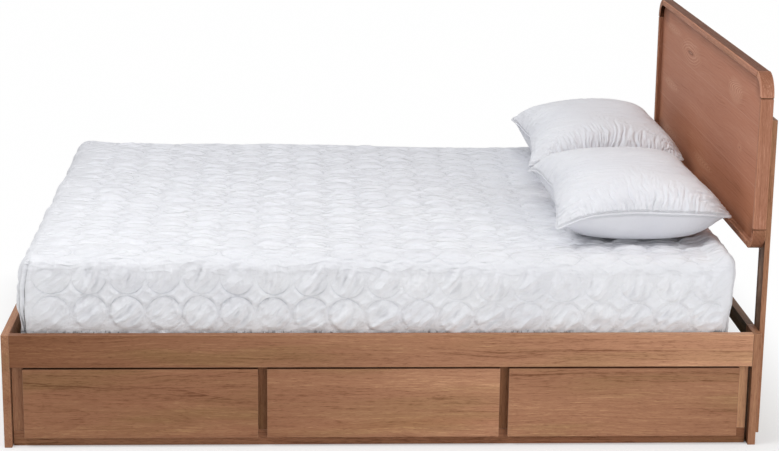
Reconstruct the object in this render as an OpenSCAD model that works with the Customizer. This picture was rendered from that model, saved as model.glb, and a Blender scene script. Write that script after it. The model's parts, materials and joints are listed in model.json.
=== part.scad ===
// Platform bed with three storage drawers on its near side, a framed headboard,
// a mattress in a quilted cover and two pillows.
// The origin is on the floor, under the middle of the whole object.
// +X points to the headboard, -Y is the side with the drawers and +Z is up.
// Every module places its piece from the foot end's near corner on the floor,
// so that x runs along the bed, y across it and z up, all from 0.

/* [Bed frame] */
// Length from the footboard's outer face to the backs of the head legs
bed_length = 2150; // [2140:5:2170]
// Width across the two side rails
bed_width = 1640; // [1630:5:1660]
// Height of the top edges of footboard, side rails and head legs
rail_top = 334; // [330:1:340]
// Thickness of the boards of the frame
board = 22; // [21:0.5:23]
// Height of each side rail
rail_h = 96; // [92:1:98]
// Width of each head leg, across the bed
head_leg_w = 100; // [95:1:110]
// Height of the rail between the head legs
cross_rail_h = 46; // [40:1:50]

/* [Headboard] */
// Height of the headboard's top edge above the floor
headboard_top = 1077; // [1060:1:1100]
// Height of the headboard itself
headboard_h = 510; // [490:1:530]
// How far the headboard's ends stand in from the outer faces of the rails
headboard_inset = 24; // [15:1:30]
// Depth of the frame round the panel
headboard_depth = 37; // [34:1:40]
// Thickness of the frame round the panel
rim_t = 20; // [18:1:24]
// Outer radius of the rounded corner blocks
corner_r = 67; // [60:1:75]
// Thickness of the veneered panel, flush with the back of its frame
panel_t = 22; // [18:1:24]
// Thickness of the two posts that carry the headboard
post_t = 16; // [15:1:20]
// Width of each post
post_w = 66; // [60:1:72]
// How far each post stands in from the outer face of the rail
post_inset = 32; // [26:1:40]
// Height of the posts' lower ends above the floor
post_z0 = 26; // [15:1:40]
// Height of the posts' upper ends above the floor
post_z1 = 948; // [920:1:970]

/* [Drawer base] */
// How far the drawer frame stands back from the faces of rail and drawer fronts
base_recess = 19; // [19:0.5:21]
// Gap between the footboard and the drawer frame
base_gap_foot = 2; // [1:1:5]
// Gap between the drawer frame and the head leg
base_gap_head = 6; // [3:1:8]
// Height of the rail under the drawers
bottom_rail_h = 46; // [42:1:50]
// Thickness of the upright boards that carry the slides
runner_board_t = 18; // [15:1:18]
// Thickness of the closing panel of the far side
far_panel_t = 18; // [15:1:22]

/* [Drawers] */
// Width of each drawer front
front_w = 661.5; // [655:0.5:662]
// Gap between neighbouring drawer fronts
front_gap = 26; // [24:1:28]
// Thickness of a drawer front
front_t = 18; // [16:0.5:18]
// Height of the lower edge of the drawer fronts above the floor
front_z0 = 28; // [24:1:32]
// Height of the upper edge of the drawer fronts above the floor
front_z1 = 233; // [228:1:234]
// How far a drawer front covers the frame at each end
front_overlap = 9; // [6:1:10]
// Length of the drawer sides behind the front
drawer_l = 560; // [554:1:600]
// Height of the drawer sides
drawer_side_h = 150; // [140:1:155]
// Height of the lower edges of the drawer sides above the floor
drawer_side_z0 = 56; // [52:1:60]
// Thickness of drawer sides and back
drawer_side_t = 12; // [10:1:15]
// Thickness of the drawer's bottom panel
drawer_bottom_t = 5; // [4:1:6]
// Depth of the grooves that hold the bottom panel
groove = 6; // [4:1:7]

/* [Drawer slides] */
// Length of each member of the telescopic slides
slide_l = 550; // [500:10:550]
// Space that a slide fills between the drawer and its runner board
slide_w = 12.7; // [12.5:0.1:13]
// Height of the outer slide member
slide_h = 45; // [40:1:50]
// Height of the slides' centre line above the floor
slide_z = 110; // [100:1:150]
// Sheet thickness of the slide members
slide_sheet = 1.3; // [1.2:0.1:1.5]

/* [Mattress support] */
// Height of the two cleats that carry the slats' ends
cleat_h = 30; // [25:1:30]
// Thickness of the cleats
cleat_t = 22; // [20:1:30]
// Number of slats
slat_count = 14; // [10:1:16]
// Width of each slat
slat_w = 70; // [60:5:80]
// Thickness of each slat
slat_t = 18; // [15:1:18]

/* [Hardware] */
// Length of each leg of the corner brackets
bracket_l = 50; // [40:1:52]
// Height of the corner brackets
bracket_h = 40; // [30:1:42]
// Thickness of the corner brackets' steel
bracket_t = 3; // [2:0.5:4]
// Shank radius of the post bolts
post_bolt_r = 4; // [3:0.5:4]
// Shank radius of the bracket screws
bracket_screw_r = 3; // [2.5:0.5:3]
// Shank radius of the slat screws
slat_screw_r = 2; // [1.5:0.5:2.5]

/* [Bedding] */
// Length of the mattress in its cover
mattress_l = 2014; // [2000:1:2030]
// Width of the mattress in its cover
mattress_w = 1584; // [1570:1:1590]
// Height of the mattress in its cover
mattress_h = 259; // [240:1:280]
// Gap between the footboard's outer face and the foot end of the mattress
mattress_x0 = 56; // [50:1:70]
// Rounding of the mattress's edges
mattress_r = 45; // [30:1:60]
// Thickness of the quilted cover
cover_t = 8; // [5:1:12]
// Length of the pillows, across the bed
pillow_l = 690; // [660:5:700]
// Width of the pillows, along the bed
pillow_w = 510; // [490:5:515]
// Height of the pillows
pillow_h = 196; // [160:1:200]
// Middle of the near pillow, along the bed
pillow_near_x = 1828; // [1820:1:1840]
// Middle of the near pillow, across the bed
pillow_near_y = 497; // [480:1:500]
// Middle of the far pillow, along the bed
pillow_far_x = 1844; // [1830:1:1850]
// Middle of the far pillow, across the bed
pillow_far_y = 1245; // [1240:1:1260]

/* [Hidden] */
$fn = 48;

overall_l = bed_length + post_t;
x_foot_in = board;
x_head_in = bed_length - board;
y_far = bed_width;
rail_z0 = rail_top - rail_h;
cleat_top = rail_z0 + cleat_h;
slat_top = cleat_top + slat_t;

// Drawer frame
base_x0 = x_foot_in + base_gap_foot;
base_x1 = x_head_in - base_gap_head;
base_y1 = base_recess + board;
centre_y0 = (bed_width - board) / 2;
far_panel_y1 = bed_width - base_recess;
drawer_pitch = front_w + front_gap;
opening_w = front_w - 2 * front_overlap;
function drawer_mid(n) = bed_length / 2 + (n - 2) * drawer_pitch;
function opening_x0(n) = drawer_mid(n) - opening_w / 2;
function opening_x1(n) = drawer_mid(n) + opening_w / 2;
stile_edges = [
  base_x0, opening_x0(1), opening_x1(1), opening_x0(2),
  opening_x1(2), opening_x0(3), opening_x1(3), base_x1
];

// Drawer box
box_y1 = front_t + drawer_l;
box_back_y0 = box_y1 - drawer_side_t;
bottom_drop = 6;
drawer_bottom_z0 = drawer_side_z0 + bottom_drop;
drawer_bottom_z1 = drawer_bottom_z0 + drawer_bottom_t;
drawer_side_z1 = drawer_side_z0 + drawer_side_h;
slide_set_back = 6;
slide_y0 = front_t + slide_set_back;

// Slide sections: each member nests in the next with room for its balls
ball_room = 2.2;
member_gap = 0.7;
lip = 9.5;
middle_h = slide_h - 2 * slide_sheet - 2 * ball_room;
inner_h = middle_h - 2 * slide_sheet - 2 * ball_room;

// Headboard
headboard_z0 = headboard_top - headboard_h;
headboard_x0 = bed_length - headboard_depth;
headboard_y0 = headboard_inset;
headboard_y1 = bed_width - headboard_inset;
panel_r = corner_r - rim_t;
post_y0 = [post_inset, bed_width - post_inset - post_w];

// Post bolts, from the floor up: two in the leg and two in the headboard
post_bolt_z = [110, 260, headboard_z0 + 75, post_z1 - 70];
bolt_head_r = 8;
bolt_head_h = 4;
bolt_sink = 5;
bolt_bite = 16;

// Corner brackets
bracket_z0 = rail_z0 + 4;
bracket_screw_bite = 15;
bracket_head_r = 6.5;
bracket_head_h = 3.5;
bracket_hole = bracket_l * 0.6;

// Slats
slats_x0 = x_foot_in + bracket_l + 5;
slats_x1 = x_head_in - bracket_l - 5;
slat_pitch = (slats_x1 - slats_x0 - slat_w) / (slat_count - 1);
slat_end_gap = 2;
slat_screw_head_r = 4;
slat_screw_head_h = 2;
slat_screw_bite = 20;

// Colours
walnut = "#97704f";
red_walnut = "#a67a66";
raw_pine = "#cdb28a";
plywood = "#c7ab82";
steel = "#b5b8bb";
dark_steel = "#4a4b4d";
cotton = "#f2f2f4";

// Moves the foot end's near corner to its place round the origin
module from_corner() {
  translate([-overall_l / 2, -bed_width / 2, 0])
    children();
}

// A straight board between two corners
module slab(low, high) {
  translate(low)
    cube(high - low);
}

// The child and its mirror image on the far side of the bed
module both_sides() {
  children();
  translate([0, bed_width, 0])
    mirror([0, 1, 0])
      children();
}

// The far side's twin of a near piece
module on_far_side() {
  translate([0, bed_width, 0])
    mirror([0, 1, 0])
      children();
}

// ---------- frame ----------

module footboard() {
  color(walnut)
    from_corner()
      difference() {
        slab([0, 0, 0], [board, bed_width, rail_top]);
        foot_screws(bracket_screw_r);
      }
}

module side_rail() {
  difference() {
    slab([x_foot_in, 0, rail_z0], [x_head_in, board, rail_top]);
    rail_screws(bracket_screw_r);
  }
}

module side_rail_near() {
  color(walnut)
    from_corner()
      side_rail();
}

module side_rail_far() {
  color(walnut)
    from_corner()
      on_far_side()
        side_rail();
}

module head_leg() {
  difference() {
    slab([x_head_in, 0, 0], [bed_length, head_leg_w, rail_top]);
    leg_screws(bracket_screw_r);
    leg_bolt_holes();
  }
}

// Blind holes in the back of a head leg for the two lower post bolts
module leg_bolt_holes() {
  for (z = [post_bolt_z[0], post_bolt_z[1]])
    translate([bed_length - bolt_bite, post_inset + post_w / 2, z])
      rotate([0, 90, 0])
        cylinder(r = post_bolt_r, h = bolt_bite + 1);
}

module head_leg_near() {
  color(walnut)
    from_corner()
      head_leg();
}

module head_leg_far() {
  color(walnut)
    from_corner()
      on_far_side()
        head_leg();
}

module head_cross_rail() {
  color(walnut)
    from_corner()
      slab(
        [x_head_in, head_leg_w, rail_top - cross_rail_h],
        [bed_length, bed_width - head_leg_w, rail_top]
      );
}

// ---------- drawer base ----------

module base_bottom_rail() {
  color(walnut)
    from_corner()
      slab([base_x0, base_recess, 0], [base_x1, base_y1, bottom_rail_h]);
}

// Stile number n of the drawer frame, counted from the foot
module base_stile(n) {
  color(walnut)
    from_corner()
      slab(
        [stile_edges[2 * n - 2], base_recess, bottom_rail_h],
        [stile_edges[2 * n - 1], base_y1, rail_z0]
      );
}

// Closes the side without drawers, set back like the drawer frame
module side_panel_far() {
  color(walnut)
    from_corner()
      slab([base_x0, far_panel_y1 - far_panel_t, 0], [base_x1, far_panel_y1, rail_z0]);
}

// Long board on edge that carries the slats' middles
module centre_board() {
  color(raw_pine)
    from_corner()
      slab([x_foot_in, centre_y0, 0], [x_head_in, centre_y0 + board, cleat_top]);
}

// The two boards beside drawer n that hold its slides
module runner_boards(n) {
  color(raw_pine)
    from_corner()
      for (x = [opening_x0(n) - runner_board_t, opening_x1(n)])
        slab([x, base_y1, 0], [x + runner_board_t, centre_y0, rail_z0]);
}

module slat_cleat() {
  slab([slats_x0, board, rail_z0], [slats_x1, board + cleat_t, cleat_top]);
}

module slat_cleat_near() {
  color(raw_pine)
    from_corner()
      difference() {
        slat_cleat();
        slat_screw_row(slat_screw_r, 0);
      }
}

module slat_cleat_far() {
  color(raw_pine)
    from_corner()
      on_far_side()
        difference() {
          slat_cleat();
          slat_screw_row(slat_screw_r, 0);
        }
}

module bed_slats() {
  color(raw_pine)
    from_corner()
      difference() {
        for (i = [0 : slat_count - 1])
          translate([slats_x0 + i * slat_pitch, board + slat_end_gap, cleat_top])
            cube([slat_w, bed_width - 2 * (board + slat_end_gap), slat_t]);
        both_sides()
          slat_screw_row(slat_screw_r, slat_screw_head_r);
      }
}

// One screw for each slat, through its near end into the cleat.
// A head_r of 0 leaves the heads off.
module slat_screw_row(shank_r, head_r) {
  for (i = [0 : slat_count - 1])
    translate([slats_x0 + i * slat_pitch + slat_w / 2, board + cleat_t / 2, cleat_top]) {
      translate([0, 0, -slat_screw_bite])
        cylinder(r = shank_r, h = slat_screw_bite + slat_t - slat_screw_head_h);
      if (head_r > 0)
        translate([0, 0, slat_t - slat_screw_head_h])
          cylinder(r = head_r, h = slat_screw_head_h);
    }
}

module slat_screws() {
  color(steel)
    from_corner()
      both_sides()
        slat_screw_row(slat_screw_r, slat_screw_head_r);
}

// ---------- corner brackets ----------

// Places its children at a bracket's screw holes in the face at x = 0, along y and z
module bracket_hole_places() {
  for (z = [bracket_h * 0.25, bracket_h * 0.75])
    translate([0, bracket_hole, z])
      rotate([0, 90, 0])
        children();
}

// One screw along +X or -X: its shank goes towards -Z of this frame, its head is at 0
module bracket_screw(shank_r, with_head) {
  translate([0, 0, -bracket_screw_bite])
    cylinder(r = shank_r, h = bracket_screw_bite + bracket_t);
  if (with_head)
    translate([0, 0, bracket_t])
      cylinder(r = bracket_head_r, h = bracket_head_h);
}

// Origin of the bracket frame at the near foot corner
module foot_corner() {
  translate([x_foot_in, board, bracket_z0])
    children();
}

// The same at the near head corner, turned to face the foot
module head_corner() {
  translate([x_head_in, board, bracket_z0])
    mirror([1, 0, 0])
      children();
}

module screws_into_end(shank_r, with_head) {
  bracket_hole_places()
    bracket_screw(shank_r, with_head);
}

module screws_into_side(shank_r, with_head) {
  mirror([1, -1, 0])
    bracket_hole_places()
      bracket_screw(shank_r, with_head);
}

module foot_screws(shank_r) {
  both_sides()
    foot_corner()
      screws_into_end(shank_r, false);
}

module leg_screws(shank_r) {
  head_corner()
    screws_into_end(shank_r, false);
}

module rail_screws(shank_r) {
  foot_corner()
    screws_into_side(shank_r, false);
  head_corner()
    screws_into_side(shank_r, false);
}

module corner_bracket() {
  difference() {
    union() {
      cube([bracket_t, bracket_l, bracket_h]);
      cube([bracket_l, bracket_t, bracket_h]);
    }
    screws_into_end(bracket_screw_r, false);
    screws_into_side(bracket_screw_r, false);
  }
}

module corner_brackets() {
  color(steel)
    from_corner()
      both_sides() {
        foot_corner()
          corner_bracket();
        head_corner()
          corner_bracket();
      }
}

module corner_screw_set() {
  screws_into_end(bracket_screw_r, true);
  screws_into_side(bracket_screw_r, true);
}

module bracket_screws() {
  color(dark_steel)
    from_corner()
      both_sides() {
        foot_corner()
          corner_screw_set();
        head_corner()
          corner_screw_set();
      }
}

// ---------- headboard ----------

// Outline of the headboard with corners of radius r, pulled in by inset; x runs across
// the bed and y up
module headboard_outline(r, inset) {
  translate([headboard_y0 + inset, headboard_z0 + inset])
    rounded_rect(headboard_y1 - headboard_y0 - 2 * inset, headboard_h - 2 * inset, r);
}

module rounded_rect(w, h, r) {
  union() {
    translate([r, 0])
      square([w - 2 * r, h]);
    translate([0, r])
      square([w, h - 2 * r]);
    for (x = [r, w - r], y = [r, h - r])
      translate([x, y])
        circle(r = r);
  }
}

// Stands a drawing of the headboard upright, its face towards the foot
module stand_up(x0, depth) {
  translate([x0, 0, 0])
    rotate([90, 0, 90])
      linear_extrude(depth)
        children();
}

module headboard_panel() {
  color(red_walnut)
    from_corner()
      difference() {
        stand_up(bed_length - panel_t, panel_t)
          headboard_outline(panel_r, rim_t);
        both_sides()
          post_bolt_row([2, 3], post_bolt_r);
      }
}

// A straight member of the headboard's frame between the corner blocks
module rim_rail(z0) {
  color(walnut)
    from_corner()
      slab(
        [headboard_x0, headboard_y0 + corner_r, z0],
        [bed_length, headboard_y1 - corner_r, z0 + rim_t]
      );
}

module headboard_top_rail() {
  rim_rail(headboard_top - rim_t);
}

module headboard_bottom_rail() {
  rim_rail(headboard_z0);
}

module headboard_side() {
  slab(
    [headboard_x0, headboard_y0, headboard_z0 + corner_r],
    [bed_length, headboard_y0 + rim_t, headboard_top - corner_r]
  );
}

module headboard_side_near() {
  color(walnut)
    from_corner()
      headboard_side();
}

module headboard_side_far() {
  color(walnut)
    from_corner()
      on_far_side()
        headboard_side();
}

// Rounded block at the upper near corner, a quarter of a ring
module corner_block() {
  translate([headboard_x0, headboard_y0 + corner_r, headboard_top - corner_r])
    rotate([0, 90, 0])
      linear_extrude(headboard_depth)
        intersection() {
          difference() {
            circle(r = corner_r);
            circle(r = panel_r);
          }
          translate([-corner_r, -corner_r])
            square(corner_r);
        }
}

// The lower block is the upper one turned over
module lower_corner_block() {
  translate([0, 0, headboard_z0 + headboard_top])
    mirror([0, 0, 1])
      corner_block();
}

module headboard_corner_top_near() {
  color(walnut)
    from_corner()
      corner_block();
}

module headboard_corner_top_far() {
  color(walnut)
    from_corner()
      on_far_side()
        corner_block();
}

module headboard_corner_bottom_near() {
  color(walnut)
    from_corner()
      lower_corner_block();
}

module headboard_corner_bottom_far() {
  color(walnut)
    from_corner()
      on_far_side()
        lower_corner_block();
}

// Bolts of a post, by their places in post_bolt_z: shanks only
module post_bolt_row(places, shank_r) {
  for (i = places)
    translate([bed_length - bolt_bite, post_inset + post_w / 2, post_bolt_z[i]])
      rotate([0, 90, 0])
        cylinder(r = shank_r, h = bolt_bite + post_t - bolt_sink);
}

// Heads of all the bolts of a post, sunk below its back
module post_bolt_heads(head_r, head_h) {
  for (z = post_bolt_z)
    translate([overall_l - bolt_sink, post_inset + post_w / 2, z])
      rotate([0, 90, 0])
        cylinder(r = head_r, h = head_h);
}

module headboard_post() {
  difference() {
    slab([bed_length, post_inset, post_z0], [overall_l, post_inset + post_w, post_z1]);
    post_bolt_row([0, 1, 2, 3], post_bolt_r);
    post_bolt_heads(bolt_head_r + 1, bolt_sink + 1);
  }
}

module headboard_post_near() {
  color(walnut)
    from_corner()
      headboard_post();
}

module headboard_post_far() {
  color(walnut)
    from_corner()
      on_far_side()
        headboard_post();
}

module post_bolts() {
  color(dark_steel)
    from_corner()
      both_sides() {
        post_bolt_row([0, 1, 2, 3], post_bolt_r);
        post_bolt_heads(bolt_head_r, bolt_head_h);
      }
}

// ---------- drawer slides ----------

// A slide member's channel of height h, its web from x to x + slide_sheet and its lips
// reaching to x + depth, for the slide on a drawer's left
module channel(x, depth, h) {
  translate([x, slide_y0, slide_z - h / 2])
    difference() {
      cube([depth, slide_l, h]);
      translate([slide_sheet, -1, slide_sheet])
        cube([depth, slide_l + 2, h - 2 * slide_sheet]);
    }
}

// The child at the left and its mirror image at the right of drawer n's opening
module slide_pair(n) {
  translate([opening_x0(n), 0, 0])
    children();
  translate([opening_x1(n), 0, 0])
    mirror([1, 0, 0])
      children();
}

// Outer members, fixed to the runner boards
module drawer_slide_outers() {
  color(steel)
    from_corner()
      for (n = [1 : 3])
        slide_pair(n)
          channel(0, lip, slide_h);
}

// Middle members, which travel half as far as the drawer
module slide_middles(n) {
  color(steel)
    from_corner()
      slide_pair(n)
        channel(slide_sheet + member_gap, lip - member_gap, middle_h);
}

// Inner members, fixed to the drawer sides with their lips towards the runner boards
module slide_inners(n) {
  color(steel)
    from_corner()
      slide_pair(n)
        translate([slide_w, 0, 0])
          mirror([1, 0, 0])
            channel(0, lip - 2 * slide_sheet, inner_h);
}

// ---------- drawers ----------

// The bottom panel of drawer n, widened by its grooves at front and sides
module bottom_panel(n) {
  slab(
    [
      opening_x0(n) + slide_w + drawer_side_t - groove,
      front_t - groove,
      drawer_bottom_z0
    ],
    [
      opening_x1(n) - slide_w - drawer_side_t + groove,
      box_y1,
      drawer_bottom_z1
    ]
  );
}

module drawer_front(n) {
  color(walnut)
    from_corner()
      difference() {
        slab(
          [drawer_mid(n) - front_w / 2, 0, front_z0],
          [drawer_mid(n) + front_w / 2, front_t, front_z1]
        );
        bottom_panel(n);
      }
}

// One side of drawer n; x0 is its lower x face
module drawer_side(n, x0) {
  color(plywood)
    from_corner()
      difference() {
        slab(
          [x0, front_t, drawer_side_z0],
          [x0 + drawer_side_t, box_y1, drawer_side_z1]
        );
        bottom_panel(n);
      }
}

module drawer_side_left(n) {
  drawer_side(n, opening_x0(n) + slide_w);
}

module drawer_side_right(n) {
  drawer_side(n, opening_x1(n) - slide_w - drawer_side_t);
}

// The back stands on the bottom panel between the sides
module drawer_back(n) {
  color(plywood)
    from_corner()
      slab(
        [opening_x0(n) + slide_w + drawer_side_t, box_back_y0, drawer_bottom_z1],
        [opening_x1(n) - slide_w - drawer_side_t, box_y1, drawer_side_z1]
      );
}

module drawer_bottom(n) {
  color(plywood)
    from_corner()
      bottom_panel(n);
}

// ---------- bedding ----------

// Outer shape of the dressed mattress, pulled in by t at its sides and top
module mattress_block(t) {
  r = mattress_r - t;
  x_low = mattress_x0 + t + r;
  x_high = mattress_x0 + mattress_l - t - r;
  y_low = (bed_width - mattress_w) / 2 + t + r;
  y_high = bed_width - y_low;
  hull()
    for (x = [x_low, x_high], y = [y_low, y_high])
      translate([x, y, slat_top]) {
        cylinder(r = r, h = 1, $fn = 32);
        translate([0, 0, mattress_h - t - r])
          sphere(r = r, $fn = 32);
      }
}

module mattress() {
  color(cotton)
    from_corner()
      mattress_block(cover_t);
}

module quilted_cover() {
  color(cotton)
    from_corner()
      difference() {
        mattress_block(0);
        mattress_block(cover_t);
      }
}

// A plate with rounded corners, w by l, in the middle of the pillow at height z
module pillow_plate(w, l, r, z) {
  translate([-w / 2, -l / 2, z])
    linear_extrude(1)
      rounded_rect(w, l, r, $fn = 32);
}

// A plump pillow: its seam runs round at half height
module pillow(x, y) {
  color(cotton)
    from_corner()
      translate([x, y, slat_top + mattress_h])
        hull() {
          pillow_plate(pillow_w * 0.62, pillow_l * 0.72, 90, 0.3);
          pillow_plate(pillow_w * 0.9, pillow_l * 0.93, 70, pillow_h * 0.22);
          pillow_plate(pillow_w, pillow_l, 24, pillow_h * 0.48);
          pillow_plate(pillow_w * 0.84, pillow_l * 0.88, 80, pillow_h * 0.8);
          pillow_plate(pillow_w * 0.4, pillow_l * 0.5, 90, pillow_h - 1);
        }
}

module pillow_near() {
  pillow(pillow_near_x, pillow_near_y);
}

module pillow_far() {
  pillow(pillow_far_x, pillow_far_y);
}

footboard();
side_rail_near();
side_rail_far();
head_leg_near();
head_leg_far();
head_cross_rail();
base_bottom_rail();
for (n = [1 : 4])
  base_stile(n);
side_panel_far();
centre_board();
for (n = [1 : 3]) {
  runner_boards(n);
  drawer_front(n);
  drawer_side_left(n);
  drawer_side_right(n);
  drawer_back(n);
  drawer_bottom(n);
  slide_inners(n);
  slide_middles(n);
}
slat_cleat_near();
slat_cleat_far();
bed_slats();
slat_screws();
corner_brackets();
bracket_screws();
drawer_slide_outers();
headboard_panel();
headboard_top_rail();
headboard_bottom_rail();
headboard_side_near();
headboard_side_far();
headboard_corner_top_near();
headboard_corner_top_far();
headboard_corner_bottom_near();
headboard_corner_bottom_far();
headboard_post_near();
headboard_post_far();
post_bolts();
mattress();
quilted_cover();
pillow_near();
pillow_far();
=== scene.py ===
"""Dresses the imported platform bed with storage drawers: stained boards, hardware, quilted cover and pillows.

Each group of pieces has its own operator, and so has the studio. The panel "Storage bed" in the sidebar lists
them in the order in which they are made.
"""

import json
import math
import zlib

import bmesh
import bpy
import numpy as np
from bpy.props import FloatProperty, FloatVectorProperty, IntProperty, PointerProperty
from mathutils import Matrix, Vector


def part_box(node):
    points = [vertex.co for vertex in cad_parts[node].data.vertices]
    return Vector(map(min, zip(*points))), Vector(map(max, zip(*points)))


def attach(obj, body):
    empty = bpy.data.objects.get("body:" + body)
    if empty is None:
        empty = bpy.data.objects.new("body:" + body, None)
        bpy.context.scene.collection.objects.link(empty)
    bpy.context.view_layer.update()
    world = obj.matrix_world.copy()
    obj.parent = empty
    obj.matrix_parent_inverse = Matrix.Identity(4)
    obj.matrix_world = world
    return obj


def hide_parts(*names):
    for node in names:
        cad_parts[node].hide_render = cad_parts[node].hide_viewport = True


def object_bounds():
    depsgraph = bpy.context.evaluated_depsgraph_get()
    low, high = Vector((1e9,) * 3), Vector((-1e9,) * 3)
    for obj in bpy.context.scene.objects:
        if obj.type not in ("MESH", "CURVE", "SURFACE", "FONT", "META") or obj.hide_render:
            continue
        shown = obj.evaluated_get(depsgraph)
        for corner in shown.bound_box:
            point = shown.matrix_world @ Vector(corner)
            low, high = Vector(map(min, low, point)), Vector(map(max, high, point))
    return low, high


bl_info = {
    "name": "Storage bed",
    "version": (1, 0, 0),
    "blender": (4, 5, 0),
    "location": "3D View > Sidebar > Storage bed",
    "description": "Dresses a platform bed with storage drawers",
    "category": "Object",
}

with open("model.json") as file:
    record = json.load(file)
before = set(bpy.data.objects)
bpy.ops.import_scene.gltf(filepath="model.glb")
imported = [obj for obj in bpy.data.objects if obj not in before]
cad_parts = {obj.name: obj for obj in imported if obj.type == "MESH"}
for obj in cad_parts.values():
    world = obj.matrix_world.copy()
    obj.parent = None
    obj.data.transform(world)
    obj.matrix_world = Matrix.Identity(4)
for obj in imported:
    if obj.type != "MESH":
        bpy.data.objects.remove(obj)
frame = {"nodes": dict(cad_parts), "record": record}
CAD_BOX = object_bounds()
SLOT_OF = {row["node"]: row["material_slot"] for row in frame["record"]["subparts"]}
BODY_OF = {node: body for body, nodes in frame["record"]["behaviour"]["bodies"].items() for node in nodes}


# ---------------------------------------------------------------- sizes and colours


def colour(name, description, value):
    """A colour setting, written as sRGB hex and kept as linear light."""
    return FloatVectorProperty(
        name=name, description=description, subtype="COLOR", size=4, min=0, max=1, default=linear(value)
    )


def length(name, description, value, low=0.0, high=3.0):
    """A length setting in metres."""
    return FloatProperty(
        name=name,
        description=description,
        default=value,
        min=low,
        max=high,
        unit="LENGTH",
        subtype="DISTANCE",
        precision=4,
    )


def power(name, description, value):
    """A lamp's power in watts."""
    return FloatProperty(name=name, description=description, default=value, min=0, max=5000, unit="POWER")


def linear(code):
    """Turns "#rrggbb" into linear light with full alpha."""
    parts = [int(code[i : i + 2], 16) / 255 for i in (1, 3, 5)]
    return (*[c / 12.92 if c <= 0.04045 else ((c + 0.055) / 1.055) ** 2.4 for c in parts], 1.0)


class BedTimber(bpy.types.PropertyGroup):
    edge_ease: length("Edge ease", "How far the arrises of the boards are rounded", 0.0013)
    rim_ease: length("Rim ease", "How far the arrises of the headboard's rim are rounded", 0.0038)
    walnut_dark: colour("Walnut, dark", "Dark streaks of the stained boards", "#6e4630")
    walnut: colour("Walnut", "Middle tone of the stained boards", "#9a6d52")
    walnut_light: colour("Walnut, light", "Light streaks of the stained boards", "#b38765")
    veneer_dark: colour("Veneer, dark", "Dark lines of the headboard's veneer", "#93604c")
    veneer: colour("Veneer", "Middle tone of the headboard's veneer", "#b57d66")
    veneer_light: colour("Veneer, light", "Light tone of the headboard's veneer", "#ca9983")
    pine: colour("Pine", "Middle tone of the slats and cleats", "#cfae7d")
    plywood: colour("Plywood", "Middle tone of the drawer boxes", "#cbb08a")


class BedCover(bpy.types.PropertyGroup):
    pitch: length("Ring pitch", "Distance from one stitched ring to the next", 0.103)
    ring: length("Ring", "Diameter of a stitched ring", 0.098)
    first_column: length("First column", "Start of the first column of rings, from the middle", -0.9695, -2)
    first_row: length(
        "First row", "Start of the first row of rings, from the middle over the edge", -0.8733, -2
    )
    puff: length("Puff", "How far the filling pushes the cover out inside a ring", 0.0065)
    puckers: length("Puckers", "Height of the creases inside a ring", 0.0045)
    cell: length("Cell", "Size of the cells that the cover is drawn with", 0.0052, 0.002)
    roll: length("Edge roll", "Radius of the cover's edges", 0.033)
    wall: length("Wall", "Thickness of the quilted cloth", 0.008)
    fold: length("Fold", "How far the open folds of the corners lie from the corners", 0.015)


class BedPillows(bpy.types.PropertyGroup):
    flat_width: length("Flat width", "Width of the pillow case laid flat, across the pillow", 0.54)
    flat_length: length("Flat length", "Length of the pillow case laid flat", 0.72)
    cell: length("Cell", "Size of the cells that the case is drawn with", 0.010, 0.004)
    pressure: FloatProperty(
        name="Pressure", description="How hard the filling presses on the case", default=9.0, min=0, max=100
    )
    frames: IntProperty(name="Frames", description="Frames of cloth simulation", default=26, min=2, max=120)
    seam_height: length("Seam height", "Height of the seam over the cover", 0.099)
    gathers: length("Gathers", "Height of the gathered creases on top", 0.0042)
    piping: length("Piping", "Radius of the piped seam", 0.0034)


class BedStudio(bpy.types.PropertyGroup):
    lens: FloatProperty(
        name="Lens",
        description="Focal length on a 36 mm sensor",
        default=90.15,
        min=20,
        max=300,
        unit="CAMERA",
    )
    key: power("Key", "Power of the large soft lamp in front, near the foot", 80)
    fill: power("Fill", "Power of the soft lamp in front, near the head", 98)
    top: power("Top", "Power of the soft lamp overhead", 56)
    room: FloatProperty(
        name="Room", description="Strength of the light from all round", default=0.30, min=0, max=5
    )


# ---------------------------------------------------------------- node trees


class Signal:
    """One value in a node tree. Arithmetic on it adds Math nodes, so a formula reads as it is written."""

    def __init__(self, bench, socket):
        self.bench, self.socket = bench, socket

    def __add__(self, other):
        return self.bench.math("ADD", self, other)

    def __radd__(self, other):
        return self.bench.math("ADD", other, self)

    def __sub__(self, other):
        return self.bench.math("SUBTRACT", self, other)

    def __rsub__(self, other):
        return self.bench.math("SUBTRACT", other, self)

    def __mul__(self, other):
        return self.bench.math("MULTIPLY", self, other)

    def __rmul__(self, other):
        return self.bench.math("MULTIPLY", other, self)

    def __truediv__(self, other):
        return self.bench.math("DIVIDE", self, other)

    def __rtruediv__(self, other):
        return self.bench.math("DIVIDE", other, self)

    def __pow__(self, other):
        return self.bench.math("POWER", self, other)

    def __neg__(self):
        return self.bench.math("MULTIPLY", self, -1.0)

    def __abs__(self):
        return self.bench.math("ABSOLUTE", self)

    def clip(self, low=0.0, high=1.0):
        return self.bench.math("MINIMUM", self.bench.math("MAXIMUM", self, low), high)

    def smooth(self, low, high, to_low=0.0, to_high=1.0):
        """Rises smoothly from to_low to to_high as the value goes from low to high."""
        node = self.bench.node(
            "ShaderNodeMapRange",
            {"Value": self, "From Min": low, "From Max": high, "To Min": to_low, "To Max": to_high},
            interpolation_type="SMOOTHSTEP",
        )
        return Signal(self.bench, node.outputs[0])


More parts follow.
